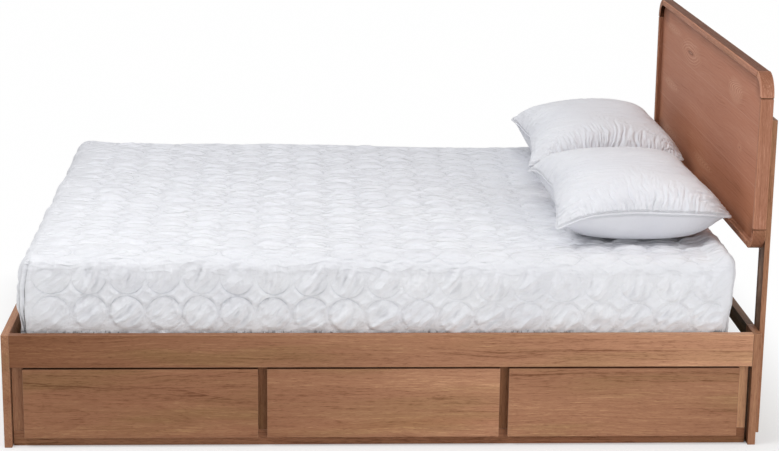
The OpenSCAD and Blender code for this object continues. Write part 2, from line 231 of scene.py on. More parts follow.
class Bench:
    """Adds and wires nodes in one tree: a material, a shader group or a Geometry Nodes tree."""

    def __init__(self, tree):
        self.tree = tree

    def put(self, socket, value):
        """Wires a value to a socket, or sets it there when it is a plain number, colour or data-block."""
        if isinstance(value, Signal):
            value = value.socket
        if isinstance(value, bpy.types.NodeSocket):
            self.tree.links.new(value, socket)
        else:
            socket.default_value = value

    def node(self, kind, inputs=None, **settings):
        """Adds a node, sets its own settings and puts values on its inputs."""
        node = self.tree.nodes.new(kind)
        count = len(self.tree.nodes)
        node.location = (180 * (count % 12), -160 * (count // 12))
        for name, value in settings.items():
            setattr(node, name, value)
        for key, value in (inputs or {}).items():
            self.put(node.inputs[key], value)
        return node

    def math(self, operation, *values):
        node = self.node("ShaderNodeMath", operation=operation)
        for socket, value in zip(node.inputs, values):
            self.put(socket, value)
        return Signal(self, node.outputs[0])

    def vector(self, x, y, z):
        return self.node("ShaderNodeCombineXYZ", {0: x, 1: y, 2: z}).outputs[0]

    def xyz(self, vector):
        node = self.node("ShaderNodeSeparateXYZ", {0: vector})
        return [Signal(self, socket) for socket in node.outputs]

    def noise(self, vector, scale=1.0, detail=2.0, roughness=0.5, distortion=0.0):
        """Smooth noise from 0 to 1."""
        inputs = {
            "Vector": vector,
            "Scale": scale,
            "Detail": detail,
            "Roughness": roughness,
            "Distortion": distortion,
        }
        return Signal(self, self.node("ShaderNodeTexNoise", inputs).outputs[0])

    def noises(self, vector, scale=1.0, detail=2.0):
        """Three separate smooth noises from 0 to 1."""
        node = self.node("ShaderNodeTexNoise", {"Vector": vector, "Scale": scale, "Detail": detail})
        return self.xyz(node.outputs[1])

    def chance(self, vector):
        """Three separate random values from 0 to 1 that hold over a whole cell."""
        node = self.node("ShaderNodeTexWhiteNoise", {"Vector": vector}, noise_dimensions="3D")
        return self.xyz(node.outputs["Color"])

    def bell(self, value, width=1.0):
        """1 where the value is 0, falling off on both sides; width is the square of its reach."""
        return self.math("EXPONENT", -(value * value) / width)

    def painted(self, name, output="Fac"):
        """What a shader reads from an attribute of the piece."""
        socket = self.node("ShaderNodeAttribute", attribute_name=name).outputs[output]
        return Signal(self, socket) if output == "Fac" else socket

    def place(self):
        """A point of the piece in the shared frame, for a shader."""
        return self.node("ShaderNodeTexCoord").outputs["Object"]

    def stored(self, name, kind="FLOAT"):
        """What a Geometry Nodes tree reads from an attribute of the piece."""
        socket = self.node("GeometryNodeInputNamedAttribute", {"Name": name}, data_type=kind).outputs[0]
        return Signal(self, socket) if kind == "FLOAT" else socket

    def raise_surface(self, geometry, amount):
        """Pushes every point out along its normal."""
        normal = self.node("GeometryNodeInputNormal").outputs[0]
        push = self.node("ShaderNodeVectorMath", {0: normal, "Scale": amount}, operation="SCALE").outputs[0]
        return self.node("GeometryNodeSetPosition", {"Geometry": geometry, "Offset": push}).outputs[0]

    def blend(self, amount, a, b, mode="MIX"):
        """Mixes two colours."""
        node = self.node("ShaderNodeMix", data_type="RGBA", blend_type=mode, clamp_factor=True)
        for index, value in ((0, amount), (6, a), (7, b)):
            self.put(node.inputs[index], value)
        return node.outputs[2]

    def group(self, group, **inputs):
        """Places a shader group; the keywords are its inputs, with _ for a space."""
        node = self.node("ShaderNodeGroup", node_tree=group)
        for name, value in inputs.items():
            self.put(node.inputs[name.replace("_", " ")], value)
        return node.outputs


def new_group(name, kind, inputs, outputs):
    """A node group with inputs (name, type, default) and outputs (name, type).

    Gives its bench, its inputs and its end too.
    """
    tree = bpy.data.node_groups.new(name, kind)
    for label, socket_type, default in inputs:
        socket = tree.interface.new_socket(name=label, in_out="INPUT", socket_type="NodeSocket" + socket_type)
        if default is not None:
            socket.default_value = default
    for label, socket_type in outputs:
        tree.interface.new_socket(name=label, in_out="OUTPUT", socket_type="NodeSocket" + socket_type)
    bench = Bench(tree)
    start, end = tree.nodes.new("NodeGroupInput"), tree.nodes.new("NodeGroupOutput")
    take = {}
    for label, socket_type, _ in inputs:
        socket = start.outputs[label]
        take[label] = Signal(bench, socket) if socket_type in ("Float", "Int") else socket
    return tree, bench, take, end


def modifier_tree(name, inputs):
    """A Geometry Nodes tree whose first input and output are the geometry."""
    inputs = [("Geometry", "Geometry", None), *inputs]
    tree, bench, take, end = new_group(name, "GeometryNodeTree", inputs, [("Geometry", "Geometry")])
    tree.is_modifier = True
    return tree, bench, take, end


def close_tree(bench, end, geometry, surface):
    """Ends a tree in Realize Instances and Set Material."""
    real = bench.node("GeometryNodeRealizeInstances", {0: geometry})
    painted = bench.node("GeometryNodeSetMaterial", {"Geometry": real.outputs[0], "Material": surface})
    bench.put(end.inputs[0], painted.outputs[0])


def run_tree(obj, tree, **values):
    """Runs a Geometry Nodes tree on a piece and keeps the result as its mesh.

    The keywords are the tree's inputs, with _ for a space.
    """
    modifier = obj.modifiers.new(tree.name, "NODES")
    modifier.node_group = tree
    sockets = {item.name: item.identifier for item in tree.interface.items_tree if item.in_out == "INPUT"}
    for name, value in values.items():
        modifier[sockets[name.replace("_", " ")]] = value
    return settle(obj)


def settle(obj):
    """Applies every modifier of a piece: its evaluated shape becomes its mesh."""
    bpy.context.view_layer.update()
    graph = bpy.context.evaluated_depsgraph_get()
    done = obj.evaluated_get(graph)
    made = bpy.data.meshes.new_from_object(done, preserve_all_data_layers=True, depsgraph=graph)
    old = obj.data
    obj.modifiers.clear()
    obj.data = made
    made.name = obj.name
    if old.users == 0:
        bpy.data.meshes.remove(old)
    return obj


# ---------------------------------------------------------------- meshes


def new_piece(name, mesh):
    """Puts a mesh in the scene as a piece at the origin."""
    piece = bpy.data.objects.new(name, mesh)
    bpy.context.scene.collection.objects.link(piece)
    return piece


def mesh_from(name, points, faces, edges=()):
    """A mesh from rows of points and of their numbers."""
    edges, faces = ([tuple(int(i) for i in row) for row in rows] for rows in (edges, faces))
    mesh = bpy.data.meshes.new(name)
    mesh.from_pydata([tuple(p) for p in points], edges, faces)
    mesh.update()
    return mesh


def grid_faces(ids):
    """Four-sided faces between the points of a grid."""
    rows, columns = ids.shape
    cells = [(i, j) for i in range(rows - 1) for j in range(columns - 1)]
    return [(ids[i, j], ids[i + 1, j], ids[i + 1, j + 1], ids[i, j + 1]) for i, j in cells]


def spots(mesh):
    """The vertices of a mesh as an array."""
    out = np.empty(len(mesh.vertices) * 3)
    mesh.vertices.foreach_get("co", out)
    return out.reshape(-1, 3)


def read_floats(data, key, width=1):
    """One property of every vertex or attribute value, as an array with this many columns."""
    out = np.empty(len(data) * width, dtype=np.float32)
    data.foreach_get(key, out)
    return out if width == 1 else out.reshape(-1, width)


def read_vectors(mesh, name):
    return read_floats(mesh.attributes[name].data, "vector", 3)


def read_numbers(mesh, name):
    return read_floats(mesh.attributes[name].data, "value")


def edge_pairs(mesh):
    """The two vertices of every edge."""
    pairs = np.empty(len(mesh.edges) * 2, dtype=np.int64)
    mesh.edges.foreach_get("vertices", pairs)
    return pairs.reshape(-1, 2)


def shade_smooth(mesh):
    for face in mesh.polygons:
        face.use_smooth = True


def corners(node):
    """The lowest and the highest corner of a CAD node's box."""
    return [np.array(corner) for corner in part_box(node)]


def rolled(box, core, radius):
    """Moves the points of a box so that its edges roll round its core with this radius."""
    out = box - core
    size = np.linalg.norm(out, axis=1, keepdims=True)
    return np.where(size > 1e-9, core + out * (radius / np.maximum(size, 1e-9)), box)


def keep_vectors(mesh, name, values):
    layer = mesh.attributes.new(name, "FLOAT_VECTOR", "POINT")
    layer.data.foreach_set("vector", np.asarray(values, dtype=np.float32).ravel())


def keep_numbers(mesh, name, values):
    layer = mesh.attributes.new(name, "FLOAT", "POINT")
    layer.data.foreach_set("value", np.asarray(values, dtype=np.float32).ravel())


def islands(count, edges):
    """Numbers the loose parts of a mesh: one number for each vertex."""
    label = np.arange(count)
    while True:
        low = np.minimum(label[edges[:, 0]], label[edges[:, 1]])
        new = label.copy()
        np.minimum.at(new, edges[:, 0], low)
        np.minimum.at(new, edges[:, 1], low)
        new = new[new]
        if (new == label).all():
            return np.unique(label, return_inverse=True)[1]
        label = new


def luck(word, count=3):
    """Random numbers from 0 to 1 that depend only on the word."""
    return np.random.default_rng(zlib.crc32(word.encode())).random(count)


# ---------------------------------------------------------------- finishes

FINISHES = {}


def finish(name):
    """The material or shader group of this name, built once."""
    if name not in FINISHES:
        FINISHES[name] = MAKERS[name]()
    return FINISHES[name]


def blank(name, **constants):
    """A material and its Principled BSDF; the keywords are constants on its sockets, with _ for a space."""
    material = bpy.data.materials.new(name)
    material.use_nodes = True
    bench = Bench(material.node_tree)
    shader = material.node_tree.nodes["Principled BSDF"]
    for key, value in constants.items():
        shader.inputs[key.replace("_", " ")].default_value = value
    return material, bench, shader


def relief(t, shader, height, strength=1.0, distance=1.0):
    """Gives a material its fine relief."""
    bump = t.node("ShaderNodeBump", {"Height": height, "Strength": strength, "Distance": distance})
    t.put(shader.inputs["Normal"], bump.outputs[0])


def sawn_timber():
    """Colour, roughness and relief of a sawn board by its grain coordinates: x along, y across, z through."""
    tree, t, take, end = new_group(
        "Sawn timber",
        "ShaderNodeTree",
        [
            ("Grain", "Vector", (0, 0, 0)),
            ("Tone", "Float", 0.0),
            ("Dark", "Color", (0.1, 0.1, 0.1, 1)),
            ("Middle", "Color", (0.3, 0.3, 0.3, 1)),
            ("Light", "Color", (0.6, 0.6, 0.6, 1)),
            ("Ring spacing", "Float", 0.009),
            ("Ring depth", "Float", 0.5),
            ("Streaks", "Float", 0.8),
            ("Heart", "Float", 0.10),
            ("Olive", "Float", 0.3),
        ],
        [("Color", "Color"), ("Roughness", "Float"), ("Height", "Float")],
    )
    x, y, z = t.xyz(take["Grain"])
    drift = t.noises(t.vector(x * 1.7, y * 4.0, z * 4.0), 1.0, 2.0)
    y2 = y + (drift[0] - 0.5) * 0.045
    z2 = z + (drift[1] - 0.5) * 0.045
    heart = z2 + take["Heart"] + x * 0.03
    ring = t.math("SQRT", y2 * y2 + heart * heart) / take["Ring spacing"]
    ring = ring + (t.noise(t.vector(x * 2.2, y * 14.0, z * 14.0), 1.0, 2.0) - 0.5) * 1.6
    turn = t.math("FRACT", ring)
    late = (turn ** 4.0) * turn.smooth(0.95, 1.0, 1.0, 0.0)
    year = t.noise(t.vector(t.math("FLOOR", ring) * 3.7, 0.0, 0.0), 1.0, 0.0)
    late = late * year.smooth(0.2, 0.75, 0.15, 1.4)
    broad = t.noise(t.vector(x * 0.9, y2 * 20.0, z2 * 20.0), 1.0, 3.0, 0.6)
    fine = t.noise(t.vector(x * 3.4, y2 * 230.0, z2 * 230.0), 1.0, 3.0, 0.65)
    ripple = t.noise(t.vector(x * 13.0, y2 * 160.0, z2 * 160.0), 1.0, 3.0, 0.7)
    fibre = t.noise(t.vector(x * 34.0, y2 * 420.0, z2 * 420.0), 1.0, 2.0, 0.65)
    pores = t.noise(t.vector(x * 60.0, y2 * 650.0, z2 * 650.0), 1.0, 1.0).smooth(0.60, 0.72)
    value = (broad - 0.5) * 1.3 * take["Streaks"] + (fine - 0.5) * 1.1 * take["Streaks"]
    value = value + (ripple - 0.5) * 0.5 + (fibre - 0.5) * 0.9
    value = value - late * take["Ring depth"] + take["Ring depth"] * 0.22
    paint = t.blend(value.smooth(-0.55, 0.0), take["Dark"], take["Middle"])
    paint = t.blend(value.smooth(0.0, 0.55), paint, take["Light"])
    patch = t.noise(t.vector(x * 1.4 + 7.0, y * 13.0, z * 13.0), 1.0, 2.0).smooth(0.48, 0.72) * take["Olive"]
    paint = t.blend(patch, paint, (0.78, 0.93, 0.72, 1), "MULTIPLY")
    warm = t.noise(t.vector(x * 1.1 - 9.0, y * 9.0, z * 9.0), 1.0, 2.0).smooth(0.5, 0.75) * take["Olive"]
    paint = t.blend(warm, paint, (1.0, 0.86, 0.82, 1), "MULTIPLY")
    paint = t.blend(pores * 0.42, paint, (0.42, 0.36, 0.33, 1), "MULTIPLY")
    # a lighter board is also paler, a darker one redder, and faces with deep painted shade are all but black
    stained, deep = take["Tone"].clip(-0.45, 2.0), 1 - (-take["Tone"] - 0.45).clip(0.0, 0.55) * 1.65
    tint = t.vector(*((stained * share + 1.0) * deep for share in (1.0, 1.22, 1.42)))
    paint = t.node("ShaderNodeVectorMath", {0: paint, 1: tint}, operation="MULTIPLY").outputs[0]
    t.put(end.inputs["Color"], paint)
    t.put(end.inputs["Roughness"], fine.smooth(0.25, 0.75, 0.5, 0.38) + pores * 0.12)
    t.put(end.inputs["Height"], fibre * 0.5 + fine * 0.6 - pores * 0.9 - late * 0.4)
    return tree


def edge_wear():
    """Lightens the eased arrises of a board, unevenly along their length: partly wear, partly a painted
    highlight.
    """
    tree, t, take, end = new_group(
        "Edge wear",
        "ShaderNodeTree",
        [
            ("Color", "Color", (0.5, 0.5, 0.5, 1)),
            ("Worn", "Float", 0.0),
            ("Where", "Vector", (0, 0, 0)),
            ("Amount", "Float", 0.5),
            ("Bare", "Color", (0.8, 0.6, 0.45, 1)),
        ],
        [("Color", "Color")],
    )
    patchy = t.noise(take["Where"], 24.0, 3.0, 0.6).smooth(0.3, 0.7, 0.35, 1.0)
    mask = (take["Worn"] * patchy * take["Amount"]).clip()
    t.put(end.inputs["Color"], t.blend(mask, take["Color"], take["Bare"]))
    return tree


# each timber: dark, middle and light tone, as a setting's name or a colour; spacing and depth of the year
# rings, share of streaks, distance to the heart and share of olive patches; wear and painted highlight of
# its edges, the colour these give, gloss and coat
BARE_WOOD = (0.62, 0.42, 0.3, 1)
TIMBERS = {
    "walnut_stain": (
        ("walnut_dark", "walnut", "walnut_light"),
        (0.011, 0.22, 0.8, 0.16, 0.55),
        (0.35, BARE_WOOD, 0.07, 0.02),
    ),
    "walnut_stain_rim": (
        ("walnut_dark", "#9b6a53", "#bd8d75"),
        (0.008, 0.3, 0.6, 0.2, 0.3),
        (0.75, linear("#cf9678"), 0.02, 0.0),
    ),
    "planed_pine": (
        ("#a9814f", "pine", "#e3cba0"),
        (0.007, 0.55, 0.5, 0.06, 0.1),
        (0.1, BARE_WOOD, 0.3, 0.0),
    ),
    "birch_plywood": (
        ("#b4966c", "plywood", "#dcc6a4"),
        (0.03, 0.2, 0.35, 0.3, 0.05),
        (0.1, BARE_WOOD, 0.3, 0.02),
    ),
}


def timber(name):
    """A stained or bare board: grain group, arrises lightened by use and by a painted highlight, and a fine
    relief.
    """
    tones, (spacing, ring_depth, streaks, heart, olive), (wear_and_highlight, bare, gloss, coat) = TIMBERS[name]
    s = bpy.context.scene.bed_timber
    dark, middle, light = (linear(tone) if tone[0] == "#" else tuple(getattr(s, tone)) for tone in tones)
    material, t, shader = blank(name, Specular_IOR_Level=gloss, Coat_Weight=coat, Coat_Roughness=0.35)
    made = t.group(
        finish("sawn_timber"),
        Grain=t.painted("grain", "Vector"),
        Tone=t.painted("tone"),
        Dark=dark,
        Middle=middle,
        Light=light,
        Ring_spacing=spacing,
        Ring_depth=ring_depth,
        Streaks=streaks,
        Heart=heart,
        Olive=olive,
    )
    edge = t.group(
        finish("edge_wear"),
        Color=made["Color"],
        Worn=t.painted("worn"),
        Where=t.place(),
        Amount=wear_and_highlight,
        Bare=bare,
    )
    t.put(shader.inputs["Base Color"], edge["Color"])
    t.put(shader.inputs["Roughness"], made["Roughness"])
    relief(t, shader, made["Height"], 0.35, 0.0006)
    return material


def veneer_finish():
    """Reddish veneer: fine horizontal grain that flows round a few knots, in nested rings."""
    s = bpy.context.scene.bed_timber
    lo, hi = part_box("headboard_panel")
    material, t, shader = blank("headboard_veneer", Specular_IOR_Level=0.07)
    x, y, z = t.xyz(t.place())
    wander = t.noises(t.vector(0.0, y * 1.6, z * 3.0), 1.0, 2.0)
    high = z - (lo[2] + hi[2]) / 2 + (wander[0] - 0.5) * 0.05
    flow = high + (t.noise(t.vector(x, y * 9.0, z * 26.0), 1.0, 2.0) - 0.5) * 0.006
    eyes = arcs = None
    for across, up, wide, tall, push, eye in VENEER_KNOTS:
        ky, kz = lo[1] + across * (hi[1] - lo[1]), lo[2] + up * (hi[2] - lo[2])
        dy, dz = (y - ky) / wide, (z - kz) / tall
        near = dy * dy + dz * dz
        if eye:
            # an almond: round above and below, pointed along the grain
            near = t.math("SQRT", dz * dz + 0.02) * 1.15 - 0.16 + dy * dy * 0.9
        flow = flow + t.math("EXPONENT", -near) * push
        # an eye has closed rings, a flame nested arcs that open to one side
        rings = near * 3.0 if eye else (dy + dz * dz * 1.6) * 3.4
        rings = rings + (t.noise(t.vector(dy * 2.0, dz * 2.0, across * 9.0), 1.0, 1.0) - 0.5) * 0.7
        arc = (abs(t.math("FRACT", rings) - 0.5) * 2.0).smooth(0.4, 1.0)
        arc = arc * near.smooth(1.9, 0.5) * (0.7 if eye else 1.0)
        arcs = arc if arcs is None else t.math("MAXIMUM", arcs, arc)
        if eye:
            core = near.smooth(0.12, 0.05) - near.smooth(0.035, 0.015) * 0.5
            eyes = core if eyes is None else t.math("MAXIMUM", eyes, core)
    lines = flow / 0.0105
    turn = t.math("FRACT", lines)
    late = (turn ** 2.5) * turn.smooth(0.9, 1.0, 1.0, 0.0)
    year = t.noise(t.vector(t.math("FLOOR", lines) * 2.3, 0.0, 0.0), 1.0, 0.0).smooth(0.25, 0.7)
    broad = t.noise(t.vector(y * 1.2, flow * 16.0, 0.0), 1.0, 3.0, 0.55)
    fine = t.noise(t.vector(y * 7.0, flow * 420.0, 0.0), 1.0, 3.0, 0.6)
    fibre = t.noise(t.vector(y * 26.0, flow * 1500.0, 0.0), 1.0, 2.0)
    value = (broad - 0.5) * 0.9 + (fine - 0.5) * 0.55 + (fibre - 0.5) * 0.4 - late * year * 0.28 + 0.05
    paint = t.blend(value.smooth(-0.5, 0.0), tuple(s.veneer_dark), tuple(s.veneer))
    paint = t.blend(value.smooth(0.0, 0.5), paint, tuple(s.veneer_light))
    paint = t.blend(arcs * 0.62, paint, linear("#dbb39d"))
    paint = t.blend(eyes * 0.75, paint, linear("#6e3f30"))
    # painted shade and warm bounce light: darker and redder low down
    low = (z + (wander[1] - 0.5) * 0.12).smooth(lo[2] + 0.22, lo[2] + 0.06, 0.4, 1.0)
    paint = t.blend(low, paint, (0.90, 0.82, 0.68, 1), "MULTIPLY")
    # painted shade along the rim and in its corners
    to_y = t.math("MINIMUM", y - lo[1], -y + hi[1])
    to_z = t.math("MINIMUM", z - lo[2], -z + hi[2])
    patchy = t.noise(t.vector(y * 5.0, z * 5.0, 2.0), 1.0, 2.0).smooth(0.3, 0.7, 0.6, 1.0)
    edge = t.math("MINIMUM", to_y, to_z).smooth(0.05, 0.004) * 0.35
    corner = t.math("SQRT", to_y * to_y * 0.35 + to_z * to_z).smooth(0.095, 0.03) * 0.8
    paint = t.blend(t.math("MAXIMUM", edge, corner) * patchy, paint, linear("#4a2a1c"))
    # the joints between the leaves of veneer
    joint = None
    for up in VENEER_JOINTS:
        line = abs(z - (lo[2] + up * (hi[2] - lo[2]))).smooth(0.0022, 0.0008)
        joint = line if joint is None else t.math("MAXIMUM", joint, line)
    paint = t.blend(joint * 0.35, paint, linear("#c79a86"))
    t.put(shader.inputs["Base Color"], paint)
    t.put(shader.inputs["Roughness"], fine.smooth(0.3, 0.7, 0.62, 0.5))
    relief(t, shader, fibre * 0.4 + fine * 0.5 - late * 0.3, 0.3, 0.0005)
    return material


# each knot: place across and up on the panel as shares of its size, half width, half height, push, and
# whether its rings are closed
VENEER_KNOTS = [
    (0.675, 0.80, 0.145, 0.034, 0.020, True),
    (0.87, 0.87, 0.110, 0.013, 0.010, False),
    (0.875, 0.46, 0.110, 0.015, 0.010, False),
    (0.86, 0.11, 0.110, 0.015, 0.010, False),
    (0.235, 0.80, 0.080, 0.034, 0.030, False),
    (0.175, 0.475, 0.026, 0.011, 0.012, True),
    (0.50, 0.14, 0.120, 0.014, 0.016, False),
]
# how far up the panel the leaves of veneer meet
VENEER_JOINTS = (0.70, 0.33)


# each metal: colour, roughness, fineness of its streaks along y, depth of its spangle
METALS = {
    "zinc_slides": ("#c3c6ca", 0.32, 12.0, 0.1),
    "zinc_brackets": ("#b9bcc0", 0.38, 900.0, 0.4),
    "black_screws": ("#3a3a3d", 0.42, 900.0, 0.6),
}


def metal(name):
    """Plated or blackened steel: rolled streaks and a faint spangle."""
    code, roughness, streaks, scratch = METALS[name]
    base = linear(code)
    material, t, shader = blank(name, Metallic=1.0)
    where = t.place()
    x, y, z = t.xyz(where)
    rolled = t.noise(t.vector(x * 900.0, y * streaks, z * 900.0), 1.0, 2.0)
    spangle = t.noise(where, 140.0, 3.0, 0.6)
    paint = t.blend(spangle.smooth(0.3, 0.7, 0.0, 0.35), base, tuple(c * 0.72 for c in base[:3]) + (1,))
    t.put(shader.inputs["Base Color"], paint)
    t.put(shader.inputs["Roughness"], rolled.smooth(0.2, 0.8, roughness - 0.08, roughness + 0.12))
    relief(t, shader, rolled * 0.5 + spangle * scratch, 0.2, 0.0002)
    return material


FULL_TURN = 6.2832
WEAVE_DEPTH = 0.00006


def cotton_weave():
    """Plain weave seen close: crossing threads of a cotton cloth."""
    tree, t, take, end = new_group(
        "Cotton weave",
        "ShaderNodeTree",
        [("Cloth", "Vector", (0, 0, 0)), ("Thread", "Float", 0.0009), ("Slub", "Float", 0.5)],
        [("Height", "Float"), ("Shade", "Float")],
    )
    u, v, _ = t.xyz(take["Cloth"])
    warp = t.math("SINE", u * FULL_TURN / take["Thread"])
    weft = t.math("SINE", v * FULL_TURN / take["Thread"])
    slub = t.noise(t.vector(u * 60.0, v * 900.0, 0.0), 1.0, 2.0)
    slub = slub + t.noise(t.vector(u * 900.0, v * 60.0, 3.0), 1.0, 2.0) - 1.0
    t.put(end.inputs["Height"], warp * weft * 0.5 + slub * take["Slub"])
    t.put(end.inputs["Shade"], (slub * 0.6 + 0.5).clip())
    return tree


def cotton(name, base, shadow):
    """White cotton: weave, faint slubs and a soft sheen; gives its coordinates, relief and shade too."""
    material, t, shader = blank(
        name, Roughness=0.85, Specular_IOR_Level=0.12, Sheen_Weight=0.12, Sheen_Roughness=0.5
    )
    cloth = t.painted("cloth", "Vector")
    weave = t.group(finish("cotton_weave"), Cloth=cloth)
    broad = t.noise(cloth, 6.0, 3.0)
    shade = (Signal(t, weave["Shade"]) * 0.35 + broad * 0.65).smooth(0.2, 0.8, 0.0, 0.6)
    t.put(shader.inputs["Base Color"], t.blend(shade, base, shadow))
    return material, t, shader, cloth, Signal(t, weave["Height"]) * WEAVE_DEPTH, shade


# the cover's cloth coordinates count along the cloth from its first ring: u to the head, v to the far side
MIDDLE_V = 0.87
FAR_EDGE_V = 1.66


def askew(t, u, v, depth):
    """The rows of rings run a little askew: towards the head they hang lower on the near side."""
    skew = u.smooth(0.35, 1.6) * 0.020
    return skew, depth + t.math("SIGN", v - MIDDLE_V) * skew


def quilt_finish():
    """Quilted cotton: grey thread lines round each stitched ring, small gathers that run into them, and
    painted shade.
    """
    s = bpy.context.scene.bed_cover
    material, t, shader, cloth, weave, shade = cotton("quilted_cotton", linear("#eeeff3"), linear("#e2e3ea"))
    u, v, depth = t.xyz(cloth)
    off = abs(t.painted("off_ring")) + t.painted("loose")
    du, dv = t.math("FRACT", u / s.pitch) - 0.5, t.math("FRACT", v / s.pitch) - 0.5
    column, line = t.math("FLOOR", u / s.pitch), t.math("FLOOR", v / s.pitch)
    round_ring = t.vector(column * 1.7 + du * 14.0, line * 2.3 + dv * 14.0, 0.0)
    gathers = t.noise(round_ring, 1.0, 3.0, 0.65) * off.smooth(0.016, 0.001)
    uneven = t.noise(t.vector(u * 22.0, v * 22.0, 4.0), 1.0, 2.0).smooth(0.35, 0.6, 0.15, 1.0)
    uneven = uneven * t.noise(t.vector(u * 9.0, v * 9.0, 8.0), 1.0, 1.0).smooth(0.4, 0.62, 0.1, 1.0)
    side = depth.smooth(0.03, 0.06)
    _, row = askew(t, u, v, depth)
    thread = off.smooth(0.0019, 0.0005) * t.math("MAXIMUM", uneven, side * 0.6)
    upper = row.smooth(0.113, 0.124, 1.0, 0.15) * row.smooth(0.06, 0.085, 0.3, 1.0)
    upper = upper * row.smooth(0.14, 0.17, 1.0, 0.3) * u.smooth(0.5, 1.3, 1.0, 0.55)
    fine = t.noise(t.vector(u * 30.0, v * 110.0, 0.0), 1.0, 3.0, 0.55)
    creased = t.noise(t.vector((u + v * 0.8) * 12.0, (v - u * 0.8) * 56.0, 5.0), 1.0, 2.0, 0.5) * side
    paint = t.blend(shade, linear("#eeeff2"), linear("#e0e1e8"))
    # painted shade in the grooves of the rings on the sides
    paint = t.blend(off.smooth(0.006, 0.0) * side * upper * 0.12, paint, linear("#a9acb6"))
    # painted shade on top, growing towards the far side
    paint = t.blend((v.smooth(0.1, 1.5) * 0.48 + 0.25) * (1 - side), paint, linear("#dcdde3"))
    # the thread lines are drawn stronger along the lower arcs of the sides' upper row, where they also stand
    # for painted shade in the groove
    thread = thread * (side * upper * 0.42 + v.smooth(0.1, 0.5, 0.24, 0.09) - side * 0.12)
    paint = t.blend(thread, paint, linear("#a9acb6"))
    # painted shade in the small tucks where the cover goes in behind the rail
    tucks = t.noise(t.vector(u * 120.0, v * 50.0, 3.0), 1.0, 1.0).smooth(0.54, 0.64)
    tucks = tucks * t.noise(t.vector(u * 7.0, v * 7.0, 6.0), 1.0, 1.0).smooth(0.44, 0.58)
    tucks = tucks * depth.smooth(0.196, 0.212) * depth.smooth(0.230, 0.217) * u.smooth(2.02, 1.99) * 0.7
    paint = t.blend(tucks, paint, linear("#606166"))
    # the open folds of the corners at the foot: shade gathers in them towards the bottom
    ragged = t.noise(t.vector(u * 30.0, v * 30.0, 2.0), 1.0, 2.0) * 0.003
    fold = (t.painted("seam") + ragged - depth * 0.010).smooth(0.0036, 0.0018)
    fold = fold * depth.smooth(0.0, 0.16, 0.0, 0.9) * u.smooth(1.2, 0.6)
    t.put(shader.inputs["Base Color"], t.blend(fold, paint, linear("#4d4744")))
    # fine crests on top, where the cloth lies loose
    crest = t.noise(t.vector(u * 11.0, v * 30.0, 7.0), 1.0, 2.0, 0.5)
    crest = (1 - abs(crest - 0.5) * 7.0).clip() * (1 - side)
    stitch = off.smooth(0.0032, 0.0) * row.smooth(0.12, 0.13, 0.0009, 0.0003) * (side * 0.6 + 0.4)
    relief(t, shader, weave + gathers * 0.0026 + fine * 0.0016 + creased * 0.0060 + crest * 0.0028 - stitch)
    return material


def pillow_finish():
    """Gathered cotton of the pillow cases."""
    material, t, shader, cloth, weave, _ = cotton("pillow_cotton", linear("#e7e8ec"), linear("#dcdde5"))
    relief(t, shader, weave + t.noise(cloth, 38.0, 4.0, 0.55, 0.6) * 0.0015)
    return material


def ticking_finish():
    """Mattress ticking: woven diamonds in a slightly warmer white."""
    material, t, shader, cloth, weave, _ = cotton("mattress_ticking", linear("#e9e8e4"), linear("#d9d7d0"))
    u, v, _ = t.xyz(cloth)
    damask = t.math("SINE", (u + v) * 160.0) * t.math("SINE", (u - v) * 160.0)
    relief(t, shader, weave + damask * 0.0004)
    return material


MAKERS = {
    "sawn_timber": sawn_timber,
    "edge_wear": edge_wear,
    "cotton_weave": cotton_weave,
    "walnut_board": lambda: timber("walnut_stain"),
    "headboard_rim": lambda: timber("walnut_stain_rim"),
    "headboard_veneer": veneer_finish,
    "raw_pine": lambda: timber("planed_pine"),
    "plywood": lambda: timber("birch_plywood"),
    "slide_steel": lambda: metal("zinc_slides"),
    "bracket_steel": lambda: metal("zinc_brackets"),
    "screw_steel": lambda: metal("black_screws"),
    "mattress_ticking": ticking_finish,
    "quilted_cotton": quilt_finish,
    "pillow_cotton": pillow_finish,
}


# ---------------------------------------------------------------- boards

TIMBER_SLOTS = ("walnut_board", "raw_pine", "plywood")

# how far the arrises of the slats and of the pressed steel are rounded
SLAT_EASE, STEEL_EASE = 0.0016, 0.0004
# the angles, in degrees, from which an edge is eased, shows wear with a painted highlight and stays sharp in
# the shading
EASED_FROM, WORN_AND_LIT_FROM, SHARP_FROM = 38, 30, 50
# how far to each side a glue line darkens the boards
GLUE_LINE = 0.0022

# tone of a board at its foot end and its head end, and how far its face lies from the heart of the log
BOARD_TONES = {
    "drawer_1_front": (-0.05, -0.04, 0.05),
    "drawer_2_front": (0.0, 0.40, 0.22),
    "drawer_3_front": (0.20, 0.10, 0.33),
    "side_rail_near": (-0.32, 0.66, 0.42),
    "base_bottom_rail": (0.05, -0.16, 0.30),
    "base_stile_1": (0.12, 0.12, 0.30),
    "base_stile_2": (-0.22, -0.22, 0.25),
    "base_stile_3": (-0.20, -0.20, 0.28),
    "base_stile_4": (0.72, 0.72, 0.30),
    "headboard_top_rail": (0.10, 0.10, 0.30),
    "headboard_side_near": (0.20, 0.20, 0.25),
    "headboard_corner_top_near": (0.58, 0.58, 0.25),
    "headboard_corner_bottom_near": (0.12, 0.12, 0.25),
    "headboard_corner_top_far": (0.0, 0.0, 0.25),
    "headboard_post_near": (-0.05, -0.05, 0.25),
    "head_leg_near": (0.10, 0.10, 0.25),
}
